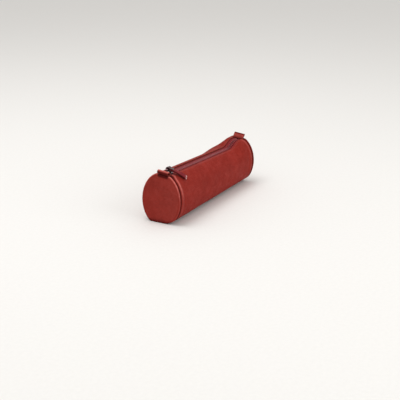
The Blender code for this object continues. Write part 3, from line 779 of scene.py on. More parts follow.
def pebbles(tree, place, size, crease):
    """Rounded cells as heights, with creases between them that take up a share of a cell."""
    cells = add_node(tree, "ShaderNodeTexVoronoi", {"Vector": place, "Scale": 1 / size},
                     feature="DISTANCE_TO_EDGE")
    return ramp(tree, cells.outputs["Distance"], 0.0, crease)


def leather_grain(tree, place, size):
    """Leather's grain as a height: large and small pebbles of uneven shape."""
    drift = add_node(tree, "ShaderNodeTexNoise",
                     {"Vector": place, "Scale": PEBBLE_DRIFT / size, "Detail": 2.0}).outputs[1]
    shift = add_node(tree, "ShaderNodeVectorMath", {0: drift, 1: (size, size, size)},
                     operation="MULTIPLY").outputs[0]
    bent = add_node(tree, "ShaderNodeVectorMath", {0: place, 1: shift},
                    operation="ADD").outputs[0]
    large, small = (math_node(tree, "MULTIPLY", pebbles(tree, bent, size / smaller, crease), share)
                    for smaller, crease, share in PEBBLES)
    return math_node(tree, "ADD", large, small)


def leather_material(name, colours, sizes, main=None, lit_and_worn_to=None):
    """Dyed, finely grained leather: mottled and darker in its grain's creases.

    Its marks paint it paler where it is rubbed and where highlights are painted, and darker where
    shade is painted.
    """
    main = main or colours.leather
    surface, tree, shader, place = new_material(name, main)
    grain = leather_grain(tree, place, sizes.grain_size)
    blotchy = noise(tree, place, *BLOTCHES)
    dark = [CLOUD_SHADE * part for part in main]
    colour = toned(tree, dark, main, noise(tree, place, *CLOUDS), *CLOUDY)
    colour = toned(tree, colour, colours.leather_light, blotchy, *MOTTLED)
    colour = toned(tree, colour, colours.leather_shade, grain, *CREASED)
    patchy = ramp(tree, noise(tree, place, *RUBBED_PATCHES), *PATCHY)
    # The mark read here paints it paler: rubbing, and painted highlights on the seams' ridges and
    # rims, the front end's lit side and the front tab's fold.
    worn_and_lit = math_node(tree, "MULTIPLY", mark_value(tree, "wear_and_highlight"), patchy, clamp=True)
    colour = blend_colour(tree, worn_and_lit, colour, lit_and_worn_to or colours.leather_worn_and_lit)
    # The mark read here paints shade: in the seams' grooves, at and under the tabs and the pull,
    # and near the table. It also darkens the pull's painted edges.
    colour = blend_colour(tree, mark_value(tree, "crease"), colour, colours.leather_shade)
    roughness = math_node(tree, "SUBTRACT", ramp(tree, blotchy, *LEATHER_ROUGH),
                          math_node(tree, "MULTIPLY", worn_and_lit, RUB_POLISH))
    swells = math_node(tree, "MULTIPLY", noise(tree, place, *SOFT_SWELLS), SWELL_SHARE)
    bump = (math_node(tree, "ADD", grain, swells), LEATHER_BUMP, sizes.grain_depth)
    finish_shader(tree, shader, colour, roughness, bump, Specular_IOR_Level=LEATHER_SHINE)
    return surface


def bare_material(name, colours, bare, fibre, patches, dyed, shaded, rough, bump):
    """Bare leather: its napped inner face, or the layered fibres of a cut edge."""
    surface, tree, shader, place = new_material(name, bare)
    fibres = noise(tree, place, *fibre)
    colour = toned(tree, bare, colours.leather_deep, noise(tree, place, *patches), *dyed)
    colour = toned(tree, colour, colours.leather_shade, fibres, *shaded)
    finish_shader(tree, shader, colour, ramp(tree, fibres, *rough), (fibres, *bump),
                  Specular_IOR_Level=LEATHER_SHINE)
    return surface


def tape_material(name, colours, sizes):
    """Woven zip tape: a fine herringbone of warp and weft threads."""
    surface, tree, shader, place = new_material(name, colours.tape)
    split = add_node(tree, "ShaderNodeSeparateXYZ", {0: place})
    along = math_node(tree, "DIVIDE", split.outputs[0], sizes.weave_size)
    across = math_node(tree, "DIVIDE", split.outputs[1], sizes.weave_size * WEFT_SHARE)
    slanted = math_node(tree, "ADD", along, math_node(tree, "PINGPONG", across, SLANT_THREADS))
    waves = [math_node(tree, "SINE", math_node(tree, "MULTIPLY", count, math.tau))
             for count in (slanted, across)]
    warp, weft = (math_node(tree, "MULTIPLY", wave, share)
                  for wave, share in zip(waves, WEAVE_RELIEF))
    height = math_node(tree, "ADD", math_node(tree, "ADD", warp, weft), 0.5)
    fuzz = noise(tree, place, *CLOTH_FUZZ)
    colour = toned(tree, colours.tape_deep, colours.tape, height, *WOVEN)
    colour = toned(tree, colour, colours.tape_light, fuzz, *FUZZY)
    finish_shader(tree, shader, colour, ramp(tree, fuzz, *CLOTH_ROUGH), (height, *CLOTH_BUMP),
                  **CLOTH_LOOK)
    return surface


def thread_material(name, colours):
    """Twisted polyester thread."""
    surface, tree, shader, place = new_material(name, colours.thread)
    twist = add_node(tree, "ShaderNodeTexWave", {"Vector": place, **TWIST},
                     wave_type="BANDS", bands_direction="DIAGONAL").outputs[1]
    faded = noise(tree, place, *THREAD_CLOUDS)
    colour = toned(tree, colours.thread, colours.leather_shade, twist, *TWISTED)
    colour = toned(tree, colour, colours.leather_light, faded, *FADED)
    finish_shader(tree, shader, colour, ramp(tree, twist, *THREAD_ROUGH), (twist, *THREAD_BUMP))
    return surface


def metal_material(name, colour, dark_share, light_share, smoothest):
    """Plated metal: clouded plating and fine rubbing, with lighter streaks."""
    dark, light = ([min(1.0, share * part) for part in colour]
                   for share in (dark_share, light_share))
    surface, tree, shader, place = new_material(name, colour)
    stretched = add_node(tree, "ShaderNodeMapping", {"Vector": place, "Scale": BRUSH_STRETCH})
    brushed = noise(tree, stretched.outputs[0], *BRUSHING)
    tone = toned(tree, dark, colour, noise(tree, place, *PLATING_CLOUDS), *PLATED)
    tone = toned(tree, tone, light, brushed, *BRUSHED)
    rough = ramp(tree, brushed, 0.3, 0.7, smoothest, smoothest + ROUGH_SPREAD)
    finish_shader(tree, shader, tone, rough, (brushed, *METAL_BUMP), Metallic=1.0)
    return surface


def length_size(name, description, default):
    """A length that the user may change."""
    return FloatProperty(name=name, description=description, default=default, min=0.0,
                         precision=5, unit="LENGTH", subtype="DISTANCE")


def colour_choice(name, description, default):
    """A linear colour that the user may change."""
    return FloatVectorProperty(name=name, description=description, default=default, size=3,
                               min=0.0, max=1.0, subtype="COLOR")


class CaseSizes(bpy.types.PropertyGroup):
    """Sizes of the case's finish."""

    grain_size: length_size("Grain size", "Width of one pebble of the leather's grain", 0.0009)
    grain_depth: length_size("Grain depth", "Height of the leather's grain", 0.00012)
    dent_depth: length_size("Dent depth", "Depth of the hollows left by handling", 0.0007)
    pucker_depth: length_size("Pucker depth", "Depth of the gathers at the end seams", 0.00022)
    edge_round: length_size("Edge rounding", "Radius of the leather's cut edges", 0.0003)
    stitch_pitch: length_size("Stitch pitch", "Distance from stitch to stitch", 0.0030)
    stitch_length: length_size("Stitch length", "Length of a stitch on the surface", 0.0024)
    stitch_inset: length_size("Stitch inset", "Distance from the zip's mouth", 0.0024)
    thread_width: length_size("Thread width", "Thickness of the sewing thread", 0.00048)
    weave_size: length_size("Weave size", "Width of one thread of the zip's tape", 0.00042)


class CaseColours(bpy.types.PropertyGroup):
    """Colours of the case's finish."""

    leather: colour_choice("Leather", "The leather's main colour", (0.310, 0.029, 0.020))
    leather_deep: colour_choice("Deep leather", "Where its dye lies thick", (0.205, 0.014, 0.011))
    leather_light: colour_choice("Light leather", "Where its dye lies thin",
                                 (0.375, 0.052, 0.042))
    # This colour also paints the highlights on the seams, the front rim and the front tab's fold.
    leather_worn_and_lit: colour_choice("Worn leather", "On rubbed ridges", (0.610, 0.162, 0.138))
    # This colour darkens the grain's creases and paints shade: in the seams, at and under the tabs
    # and the pull, near the table, and between fibres and the thread's twists.
    leather_shade: colour_choice("Leather creases", "In its creases", (0.060, 0.004, 0.004))
    pull_leather: colour_choice("Pull leather", "The pull's own leather", (0.230, 0.026, 0.034))
    # This colour paints the pale spots at the pull's end.
    pull_tip: colour_choice("Pull tip", "Where the pull's end is rubbed", (0.85, 0.60, 0.58))
    leather_flesh: colour_choice("Leather inside", "Its napped face", (0.230, 0.055, 0.040))
    cut_edge: colour_choice("Cut edge", "Bare fibres at a cut edge", (0.420, 0.170, 0.120))
    tape: colour_choice("Tape", "The zip's cloth", (0.265, 0.028, 0.029))
    tape_deep: colour_choice("Deep tape", "The cloth between its threads", (0.170, 0.015, 0.017))
    tape_light: colour_choice("Light tape", "The cloth where it is rubbed",
                              (0.320, 0.055, 0.055))
    thread: colour_choice("Thread", "The sewing thread", (0.300, 0.050, 0.040))
    teeth: colour_choice("Teeth", "The zip's metal teeth", (0.258, 0.068, 0.073))
    metal: colour_choice("Slider metal", "The slider's dark plating", (0.150, 0.080, 0.085))
    floor: colour_choice("Floor", "The floor and backdrop", (0.80, 0.79, 0.77))


def skin_materials(name, sizes, colours):
    """A leather piece's outer face, inner face and cut rim."""
    return [leather_material(name + "_grain", colours, sizes),
            bare_material(name + "_flesh", colours, colours.leather_flesh, *NAPPED_FACE),
            bare_material(name + "_edge", colours, colours.cut_edge, *CUT_FIBRES)]


def turned_profile():
    """The tube's turned edge as (distance behind the seam, depth), from the inside outwards."""
    turns = np.linspace(0, math.pi / 2, ROLL_STEPS + 1)
    depths = np.linspace(SEAM_ALLOWANCE, BODY_ROLL, FLANGE_STEPS + 1)[:-1]
    behind = np.concatenate([np.zeros(FLANGE_STEPS), BODY_ROLL * (1 - np.cos(turns))])
    return behind[:, None], np.concatenate([depths, BODY_ROLL * (1 - np.sin(turns))])[:, None]


def stitch_groove(s, arc, sizes):
    """The shallow channel that the stitches pull into the leather beside the zip."""
    line = MOUTH_HALF + sizes.stitch_inset
    groove = peak(from_zip(arc), STITCH_GROOVE, line, STITCH_GROOVE_WIDTH)
    return groove * rising(to_end(s), 1, LEVEL_END, STITCH_GROOVE_EASE)


def tube_relief(s, arc, sizes):
    """How far the leather lies under its plain surface."""
    relief = dents(s, arc, sizes.dent_depth)
    relief = relief + puckers(to_seam(s, arc), arc, sizes.pucker_depth)
    return relief + stitch_groove(s, arc, sizes)


def seam_highlight_share(arc, rear):
    """How strongly an end seam's rubbing and painted highlights show.

    Most at the front and on top, least low down.
    """
    height = section_point(arc)[..., 2]
    return (LOW_SEAM_HIGHLIGHT + rising(height, *HIGH_SEAM_HIGHLIGHT)) * np.where(rear, REAR_MARKS, 1.0)


def tube_marks(s, arc, depth):
    """Where the tube is rubbed and painted with highlights, and where shade is painted on it."""
    rear = s > CASE_LENGTH / 2
    behind = to_seam(s, arc)
    wear_and_highlight = np.maximum(peak(behind, *RIDGE_WEAR_AND_HIGHLIGHT) * seam_highlight_share(arc, rear),
                      peak(from_zip(arc), *MOUTH_WEAR))
    # Painted shade on the turned edge and in the groove behind the seam, less at the rear.
    crease = np.maximum(rising(depth, *TURNED_SHADE), falling(behind, *SEAM_SHADE))
    return wear_and_highlight * (depth < BODY_ROLL / 2), crease * np.where(rear, REAR_MARKS, 1.0)


def resting_shade(points):
    """How much contact shadow is painted on a place near the table."""
    return falling(points[..., 2], *RESTING_SHADE)


def make_tube(sizes, colours):
    """The wrapped leather panel: a tube open along the zip, its ends turned into the seams."""
    arcs = mix(MOUTH_HALF, PERIMETER - MOUTH_HALF, crowded(TUBE_COLUMNS, MOUTH_CROWDING))
    behind, deep = turned_profile()
    at_front = seam_plane(arcs) + behind
    margin = seam_plane(arcs) + BODY_ROLL
    at_main = mix(margin, CASE_LENGTH - margin, crowded(TUBE_ROWS)[1:-1, None])
    turned_in = (deep + puckers(behind, arcs, sizes.pucker_depth), section_inward(arcs))
    front = moved(surface_point(at_front, arcs), turned_in)
    main = buried_point(at_main, arcs, tube_relief(at_main, arcs, sizes))
    rear = moved(surface_point(CASE_LENGTH - at_front, arcs), turned_in)
    points = np.concatenate([front, main, rear[::-1]])
    s = np.concatenate([at_front, at_main, (CASE_LENGTH - at_front)[::-1]])
    depth = np.concatenate([deep, np.zeros((len(at_main), 1)), deep[::-1]])
    wear_and_highlight, crease = tube_marks(s, arcs, depth)
    piece = add_sheet("leather_tube", points, skin_materials("tube", sizes, colours),
                      {"wear_and_highlight": wear_and_highlight, "crease": np.maximum(crease, resting_shade(points))})
    thicken(piece, LEATHER)
    round_edges(piece, sizes.edge_round)
    return piece


def under_tab(arc, below):
    """How much shadow is painted on an end under the tab that hangs over it."""
    return falling(from_zip(arc), *TAB_SHADE_SIDE) * falling(below, *TAB_SHADE)


def disc_hollows(face, rear):
    """Shallow hollows in an end's face, as shares of their greatest depth."""
    total = np.zeros(face.shape[:-1])
    for y, z, wide, share in draw_rows(HOLLOW_SEEDS[rear], HOLLOW_COUNT, *HOLLOW_SPREADS):
        away = np.hypot(face[..., 1] - y, face[..., 2] - z)
        total = np.maximum(total, peak(away, share, 0, wide))
    return total


def make_end_face(name, rear, sizes, colours):
    """A round end: a soft face whose edge rolls over and lies back inside the seam."""
    flip = -1 if rear else 1
    arcs = (np.linspace(0, PERIMETER, DISC_COLUMNS, endpoint=False) + MOUTH_HALF)[::flip]
    inward = section_inward(arcs)
    middle = np.array([0, 0, END_HEIGHT / 2])
    shares = np.linspace(0, 1, DISC_RINGS + 1)[1:-1, None] ** RING_POWER
    rim = moved(section_point(arcs), (DISC_ROLL, inward))
    face = mix(middle, rim, shares[..., None])
    below = DISC_ROLL + np.linalg.norm(face - rim, axis=-1)
    hollow = disc_hollows(face, rear) * smoothstep((1 - shares) / HOLLOW_EDGE_SHARE)
    hollow = hollow * sizes.dent_depth * HOLLOW_DEPTH_SHARE
    face[..., 0] = hollow - DISC_BULGE * (1 - shares ** 2)
    turns = np.linspace(0, math.pi, 2 * ROLL_STEPS + 1)
    run = np.append(DISC_ROLL * (1 - np.cos(turns)), [DISC_EDGE] * 2)[:, None]
    deep = np.append(DISC_ROLL * (1 - np.sin(turns)),
                     [(DISC_ROLL + SEAM_ALLOWANCE) / 2, SEAM_ALLOWANCE])[:, None]
    gather = puckers(0.0, arcs + DISC_PUCKER_SHIFT, sizes.pucker_depth * DISC_PUCKER_SHARE)
    roll = moved(section_point(arcs), (deep + gather * smoothstep(run / DISC_ROLL), inward))
    roll[..., 0] = run
    points = np.concatenate([face, roll])
    # Rubbing with a painted highlight on the front rim, fading low down, and a painted highlight
    # on the front end's lit side.
    rubbed = (not rear) * peak(run, *RIM_WEAR_AND_HIGHLIGHT) * (deep < DISC_ROLL) * seam_highlight_share(arcs, rear)
    wear_and_highlight = np.concatenate([DISC_WEAR + rising(-face[..., 1], *NEAR_DISC_HIGHLIGHT), rubbed])
    # Painted shade on the rim where it rolls into the seam, on the front end under its tab, and
    # near the table.
    rim_shaded = REAR_RIM_SHADE if rear else rising(run, *RIM_SHADE)
    crease = np.concatenate([(not rear) * under_tab(arcs, below),
                             np.maximum(rim_shaded, under_tab(arcs, deep))])
    marks = {"wear_and_highlight": wear_and_highlight, "crease": np.maximum(crease, resting_shade(points))}
    mirror = np.array([flip, 1, 1])
    shift = np.array([-flip * CASE_LENGTH / 2, 0, 0])
    hub = (middle - np.array([DISC_BULGE, 0, 0])) * mirror + shift
    piece = add_sheet(name, points * mirror + shift, skin_materials(name, sizes, colours), marks,
                      hub)
    thicken(piece, LEATHER)
    return piece


def make_tape(name, sign, sizes, colours):
    """The woven tape on one side. It widens behind the seams, where it lies under the leather."""
    clear_seam = float(seam_plane(MOUTH_HALF)) + LEATHER + GAP
    first = clear_seam + TAPE_CORNER
    ends = np.linspace(CHAIN_START, clear_seam, TAPE_END_ROWS)
    middle = np.linspace(first, CASE_LENGTH - first, TAPE_ROWS)
    s = np.concatenate([ends, middle, CASE_LENGTH - ends[::-1]])[:, None]
    inner = CHAIN_HALF + GAP + zip_split(s)
    outer = np.where(to_end(s) > clear_seam + GAP, CHAIN_HALF + TAPE_WIDTH, MOUTH_HALF - GAP)
    side = sign * mix(inner, outer, np.linspace(0, 1, TAPE_COLUMNS + 1)[::sign])
    points = buried_point(s, side, LEATHER + TAPE_DROP)
    piece = add_sheet(name, points, [tape_material(name + "_weave", colours, sizes)])
    thicken(piece, TAPE, inner=0, rim=0)
    round_edges(piece, TAPE * SOFT_EDGE_SHARE, 2)
    return piece


def make_cord(name, sign, sizes, colours):
    """The cord that one row's teeth are clamped on."""
    s = np.linspace(CHAIN_START, CASE_LENGTH - CHAIN_START, CORD_RINGS)[:, None]
    turn = around(CORD_SIDES)[::-sign]
    lay = np.minimum(1.0 + CORD_LAY * np.sin(math.tau * s / CORD_TWIST + 2 * turn), 1.0)
    side = CHAIN_HALF - CORD_WIDTH / 2 + CORD_WIDTH / 2 * np.cos(turn) * lay
    height = CORD_HEIGHT / 2 * np.sin(turn) * lay
    rings = moved(zip_centre(s), (sign * (side + zip_split(s)), CREST_SIDE),
                  (height, zip_upward(s)))
    return add_tubes(name, rings[None], [tape_material(name + "_weave", colours, sizes)])


def make_teeth(name, sign, sizes, colours):
    """One row of metal teeth. Each has jaws that grip the cord, a neck, and a rounded head."""
    run = CASE_LENGTH - 2 * CHAIN_START
    start = CHAIN_START + (TOOTH_PITCH / 2 if sign > 0 else 0) + TOOTH_DRAFT
    first = start + 2 * TOOTH_DRAFT + TOOTH_LENGTH / 2
    middles = first + TOOTH_PITCH * np.arange(int((run - TOOTH_PITCH) / TOOTH_PITCH))
    turns = around(TOOTH_SIDES)[::sign] + math.pi / TOOTH_SIDES
    square_cos, square_sin = squared_circle(turns, TOOTH_SQUARE)
    reach_share, long_share, tall_share = TOOTH_SHAPE.T[..., None]
    side = mix(-TOOTH_REACH, CHAIN_HALF, reach_share) + zip_split(middles)[:, None, None]
    upward = zip_upward(middles)[:, None, None]
    rings = moved(zip_centre(middles)[:, None, None], (sign * side, CREST_SIDE),
                  (TOOTH_LENGTH / 2 * long_share * square_cos, unit(np.cross(CREST_SIDE, upward))),
                  (TOOTH_HEIGHT / 2 * tall_share * square_sin, upward))
    return add_tubes(name, rings,
                     [metal_material(name + "_plating", colours.teeth, *TEETH_PLATING)])


def make_stitches(name, sign, sizes, colours):
    """A line of lockstitches along one edge of the zip's mouth."""
    count = int((CASE_LENGTH - 2 * STITCH_START) / sizes.stitch_pitch)
    draw = np.random.default_rng(STITCH_SEEDS[sign])
    middles = STITCH_START + sizes.stitch_pitch * (np.arange(count) + 0.5)
    middles = middles + draw.uniform(-STITCH_DRIFT, STITCH_DRIFT, count)
    strays = draw.uniform(-STITCH_STRAY, STITCH_STRAY, count)
    steps = np.linspace(-1, 1, STITCH_RINGS)
    s = middles[:, None] + sizes.stitch_length / 2 * steps
    arc = sign * (MOUTH_HALF + sizes.stitch_inset) + strays[:, None] + STITCH_SLANT * steps
    dive = STITCH_DIVE * np.abs(steps) ** 3 - STITCH_STAND
    middle = buried_point(s, arc, stitch_groove(s, arc, sizes) + sizes.thread_width * dive)
    out = surface_out(s, arc)
    beside = np.cross(out, unit(np.gradient(middle, axis=1)))
    radius = sizes.thread_width / 2 * (1 - STITCH_TAPER * steps ** 4)[:, None]
    turns = around(STITCH_SIDES)[::-1]
    rings = moved(middle[:, :, None], (radius * THREAD_FLAT * np.sin(turns), out[:, :, None]),
                  (radius * np.cos(turns), beside[:, :, None]))
    return add_tubes(name, rings, [thread_material(name + "_thread", colours)])


def pull_centre():
    """The pull's swing axis passes here, along the crown's bar."""
    centre, _, _, upward = slider_axes()
    return centre + upward * (SLIDER_TALL / 2 + SEAT_GAP + BAR_HEIGHT)


def pull_point(share):
    """The pull's middle line, from beside the bar down to the shoulder, as a Bezier curve."""
    share = np.asarray(share, dtype=float)[..., None]
    start = pull_centre() - CREST_SIDE * PULL_START
    first = start - CREST_SIDE * PULL_LEAVE
    land_s = SLIDER_REST + PULL_RUN
    land_depth = -(GAP + PULL_LIFT + PULL_LEATHER / 2)
    end = buried_point(land_s, -PULL_ARC, land_depth)
    second = buried_point(land_s - PULL_RUN * PULL_APPROACH_SHARE,
                          -PULL_ARC * (1 - PULL_APPROACH_SHARE), land_depth - PULL_LEATHER / 2)
    rest = 1 - share
    ends = rest ** 3 * start + share ** 3 * end
    return ends + 3 * rest * share * (rest * first + share * second)


def pull_place(share):
    """Points on the pull's middle line, the directions out of its face, and across it."""
    ahead = pull_point(np.minimum(share + PROBE_SHARE, 1))
    way = unit(ahead - pull_point(np.maximum(share - PROBE_SHARE, 0)))
    landing = surface_out(SLIDER_REST + PULL_RUN, -PULL_ARC)
    out = mix(slider_axes()[3], landing, smoothstep(share)[..., None])
    width = unit(np.cross(out, way))
    return pull_point(share), np.cross(way, width), width


def make_pull_strip(sizes, colours):
    """The leather strip from between the clamp's jaws, with softened edges and a cut end."""
    point, out, width = pull_place(mix(STRIP_SHARE, 1.0, crowded(STRIP_RINGS, STRIP_CROWDING)))
    square_cos, square_sin = squared_circle(around(STRIP_SIDES)[::-1], STRIP_SQUARE)
    steps = np.linalg.norm(np.diff(point, axis=0), axis=1)
    to_tip = np.append(np.cumsum(steps[::-1])[::-1], 0.0)[:, None]
    run = np.linspace(0, 1, len(point))[:, None]
    draw_in = mix(STRIP_TIP_SHARE, 1.0, np.sqrt(np.clip(to_tip / STRIP_TIP_ROUND, 0, 1)))
    rings = moved(point[:, None], (PULL_WIDTH / 2 * draw_in * square_cos, width[:, None]),
                  (PULL_LEATHER / 2 * draw_in * square_sin, out[:, None]))
    # Pale spots on the top face at the end; dark edges, which are edge paint and also stand in for
    # the strip's shadow; painted shade where it leaves the clamp.
    at_tip = peak(to_tip, 1, 0, STRIP_TIP_REACH)
    spots = peak(np.abs(square_cos), *TIP_SPOTS) * (square_sin > 0)
    edges = STRIP_EDGE_PAINT_AND_SHADE * np.abs(square_cos) ** STRIP_EDGE_POWER * (1 - at_tip)
    marks = {"wear_and_highlight": np.clip(at_tip * (STRIP_TIP_WEAR + spots), 0, 1),
             "crease": np.maximum(falling(run, *CLAMP_SHADE), edges)}
    surface = leather_material("pull_grain", colours, sizes, colours.pull_leather,
                               colours.pull_tip)
    return add_tubes("leather_pull", rings[None], [surface], marks)


def tab_line(reach, lean, fold):
    """A tab's line from the seam round its fold and back, as outward + forward * 1j."""
    layer = (TAB_LEATHER + TAB_LAYER_GAP) / 2
    sewn = np.linspace(GAP - SEAM_ALLOWANCE, GAP, TAB_SEAM_STEPS + 1)[:-1]
    bend = np.linspace(0, 1, TAB_STEPS + 1)
    steps = np.linspace(0, 1, TAB_REACH_STEPS + 1)[1:]
    way = np.exp(1j * lean * np.concatenate([0 * sewn, bend, steps ** 0]))
    bent = GAP + TAB_BEND * (np.sin(lean * bend) + 1j * (1 - np.cos(lean * bend)))
    middle = np.concatenate([sewn, bent, bent[-1] + reach * steps * way[-1]])
    opened = mix(layer, fold, bend ** 2 / 2)
    apart = np.concatenate([layer + 0 * sewn, opened,
                            mix(opened[-1], fold, steps ** TAB_OPEN_POWER)])
    spins = np.linspace(0, math.pi, TAB_STEPS + 1)
    over = middle[-1] - 1j * apart[-1] * np.exp(1j * spins) * way[-1]
    beside = (1j * apart * way)[:-1]
    return np.concatenate([middle[:-1] - beside, over, (middle[:-1] + beside)[::-1]])


def make_tab(name, rear, sizes, colours):
    """A strip folded double, its ends in the seam and its round fold leaning over the end."""
    line = tab_line(*(REAR_TAB if rear else FRONT_TAB))
    outward, across = line.real, np.linspace(-1, 1, TAB_COLUMNS + 1)
    x = DISC_EDGE + GAP + TAB_DOUBLE / 2 - line.imag - CASE_LENGTH / 2
    place = moved(section_point(0.0), (outward, CREST_OUT)) + points_of(-x if rear else x, 0, 0)
    points = moved(place[:, None], (TAB_WIDTH / 2 * across, CREST_SIDE))
    # The front tab: rubbing with a painted highlight on its fold, painted shade under it. The rear
    # tab: painted lighter, with painted shade at its tip. Both: rubbed side edges, and painted
    # shade where they go into the seam.
    top = outward.max()
    tip = peak(outward, 1, top, TAB_TIP_REACH)[:, None]
    under = (not rear) * (np.arange(len(line)) > outward.argmax())
    shaded = under * rising(top - outward, *TAB_UNDERSIDE_SHADE)
    marks = {"wear_and_highlight": TAB_EDGE_WEAR * np.abs(across) ** EDGE_POWER
             + (REAR_TAB_PAINTED_LIGHT * (1 - tip) if rear else FRONT_TIP_WEAR_AND_HIGHLIGHT * tip),
             "crease": np.maximum(falling(outward, *TAB_SEAM_SHADE), shaded)[:, None]
             + (REAR_TIP_SHADE if rear else 0.0) * tip}
    piece = add_sheet(name, points, skin_materials(name, sizes, colours), marks)
    thicken(piece, TAB_LEATHER, 0.0, inner=0)
    round_edges(piece, TAB_LEATHER * SOFT_EDGE_SHARE)
    return piece


def chosen(context):
    """The sizes and the colours that the user has chosen."""
    return context.scene.case_sizes, context.scene.case_colours


def build_each(context, places, slot, *kinds):
    """Build a piece of each kind at each side or end, and settle it on the case.

    A kind is what makes the piece, how its name starts, and how the name of the node that it
    stands for starts, which is None where it stands for none.
    """
    for place, side in places:
        for make, name, node in kinds:
            nodes = [node + place] if node else []
            settle(make(name + place, side, *chosen(context)), "case", slot, *nodes)
    return {"FINISHED"}


class CASE_OT_tube(bpy.types.Operator):
    """Build the leather tube that wraps the case"""

    bl_idname = "pencil_case.tube"
    bl_label = "Leather Tube"

    def execute(self, context):
        settle(make_tube(*chosen(context)), "case", "leather", "body_panel")
        return {"FINISHED"}


class CASE_OT_end_faces(bpy.types.Operator):
    """Build the two round ends"""

    bl_idname = "pencil_case.end_faces"
    bl_label = "End Faces"

    def execute(self, context):
        return build_each(context, ENDS, "leather", (make_end_face, "end_face_", "end_disc_"))


class CASE_OT_zip_cloth(bpy.types.Operator):
    """Build the zip's two tapes and the cords that its teeth grip"""

    bl_idname = "pencil_case.zip_cloth"
    bl_label = "Zip Tapes and Cords"

    def execute(self, context):
        return build_each(context, SIDES, "zip_cloth", (make_tape, "tape_", "zip_tape_"),
                          (make_cord, "cord_", "zip_row_"))


class CASE_OT_zip_teeth(bpy.types.Operator):
    """Build the zip's two rows of metal teeth"""

    bl_idname = "pencil_case.zip_teeth"
    bl_label = "Zip Teeth"

    def execute(self, context):
        return build_each(context, SIDES, "zip_metal", (make_teeth, "teeth_", "zip_row_"))


class CASE_OT_stitches(bpy.types.Operator):
    """Sew the zip in with a line of stitches on each side"""

    bl_idname = "pencil_case.stitches"
    bl_label = "Zip Stitches"

    def execute(self, context):
        return build_each(context, SIDES, "leather", (make_stitches, "stitches_", None))


class CASE_OT_slider_metal(bpy.types.Operator):
    """Finish the slider, its crown and the pull's clamp in dark plated metal"""

    bl_idname = "pencil_case.slider_metal"
    bl_label = "Slider Metal"

    def execute(self, context):
        colour = context.scene.case_colours.metal
        for name in ("slider_body", "slider_crown", "pull_clamp"):
            materials = frame["nodes"][name].data.materials
            materials.clear()
            materials.append(metal_material(name + "_plating", colour, *SLIDER_PLATING))
        return {"FINISHED"}


class CASE_OT_pull(bpy.types.Operator):
    """Build the pull's leather strip"""

    bl_idname = "pencil_case.pull"
    bl_label = "Leather Pull"

    def execute(self, context):
        settle(make_pull_strip(*chosen(context)), "pull", "leather", "pull_strip")
        return {"FINISHED"}


class CASE_OT_tabs(bpy.types.Operator):
    """Build the folded tab at each end"""

    bl_idname = "pencil_case.tabs"
    bl_label = "End Tabs"

    def execute(self, context):
        return build_each(context, ENDS, "leather", (make_tab, "leather_tab_", "tab_"))


def add_floor(pale):
    """A wide floor of pale paper, which belongs to the stage."""
    corners = FLOOR_HALF * np.array([(-1, -1, 0), (1, -1, 0), (1, 1, 0), (-1, 1, 0)])
    surface, tree, shader, place = new_material("floor_paper", pale)
    shaded = [PAPER_SHADE * part for part in pale]
    colour = toned(tree, shaded, pale, noise(tree, place, *PAPER_FIBRES), *FIBROUS)
    tree.links.new(colour, shader.inputs["Base Color"])
    shader.inputs["Roughness"].default_value = PAPER_ROUGH
    add_object("floor", corners, [(0, 1, 2, 3)], [surface])


def light_world():
    """Soft light from all round, which looks a little darker than it shines."""
    world = bpy.data.worlds.new("soft_studio")
    world.use_nodes = True
    tree = world.node_tree
    tree.nodes.clear()
    seen = add_node(tree, "ShaderNodeLightPath").outputs["Is Camera Ray"]
    skies = [add_node(tree, "ShaderNodeBackground", sky).outputs[0]
             for sky in (SKY_LIGHT, SKY_SEEN)]
    mixed = add_node(tree, "ShaderNodeMixShader", {0: seen, 1: skies[0], 2: skies[1]})
    add_node(tree, "ShaderNodeOutputWorld", {"Surface": mixed.outputs[0]})
    return world


def add_lamp(name, place, width, power):
    """A soft square lamp that looks at the case."""
    lamp = bpy.data.lights.new(name, "AREA")
    lamp.size = width
    lamp.energy = power
    made = bpy.data.objects.new(name, lamp)
    made.location = place
    way = Vector(LAMPS_FACE) - Vector(place)
    made.rotation_euler = way.to_track_quat("-Z", "Y").to_euler()
    bpy.context.scene.collection.objects.link(made)


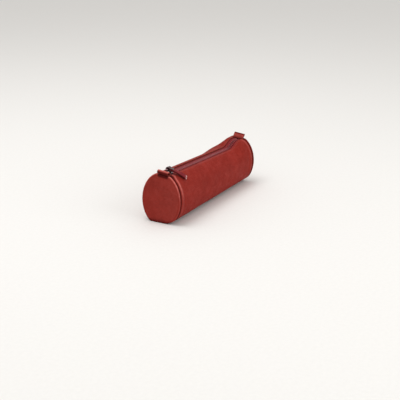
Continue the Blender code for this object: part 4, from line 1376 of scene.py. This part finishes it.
class CASE_OT_stage(bpy.types.Operator):
    """Set the floor, the soft lights, the backdrop and the camera"""

    bl_idname = "pencil_case.stage"
    bl_label = "Stage"

    def execute(self, context):
        scene = context.scene
        add_floor(scene.case_colours.floor)
        scene.world = light_world()
        for lamp in LAMPS:
            add_lamp(*lamp)
        lens = bpy.data.cameras.new("camera")
        lens.lens = CAMERA_LENS
        lens.shift_y = CAMERA_SHIFT
        camera = bpy.data.objects.new("camera", lens)
        camera.location = CAMERA_PLACE
        camera.rotation_euler = [math.radians(turn) for turn in CAMERA_DEGREES]
        scene.collection.objects.link(camera)
        scene.camera = camera
        scene.view_settings.view_transform = "Standard"
        return {"FINISHED"}


OPERATORS = (CASE_OT_stage, CASE_OT_tube, CASE_OT_end_faces, CASE_OT_zip_cloth, CASE_OT_zip_teeth,
             CASE_OT_stitches, CASE_OT_slider_metal, CASE_OT_pull, CASE_OT_tabs)


class CASE_PT_panel(bpy.types.Panel):
    """The pencil case's pieces, sizes and colours"""

    bl_idname = "CASE_PT_panel"
    bl_label = "Pencil Case"
    bl_space_type = "VIEW_3D"
    bl_region_type = "UI"
    bl_category = "Pencil Case"

    def draw(self, context):
        for operator in OPERATORS:
            self.layout.operator(operator.bl_idname)
        for group in chosen(context):
            column = self.layout.column()
            for name in group.__annotations__:
                column.prop(group, name)


CLASSES = (CaseSizes, CaseColours, *OPERATORS, CASE_PT_panel)


def register():
    """Register the classes and hang the settings on the scene."""
    for made in CLASSES:
        bpy.utils.register_class(made)
    bpy.types.Scene.case_sizes = PointerProperty(type=CaseSizes)
    bpy.types.Scene.case_colours = PointerProperty(type=CaseColours)


def unregister():
    """Take the settings and the classes away again."""
    del bpy.types.Scene.case_colours
    del bpy.types.Scene.case_sizes
    for made in reversed(CLASSES):
        bpy.utils.unregister_class(made)


def main():
    """Build everything in order."""
    register()
    for operator in OPERATORS:
        name = operator.bl_idname.split(".")[1]
        getattr(bpy.ops.pencil_case, name)()
    bpy.context.view_layer.update()


if __name__ == "__main__":
    main()
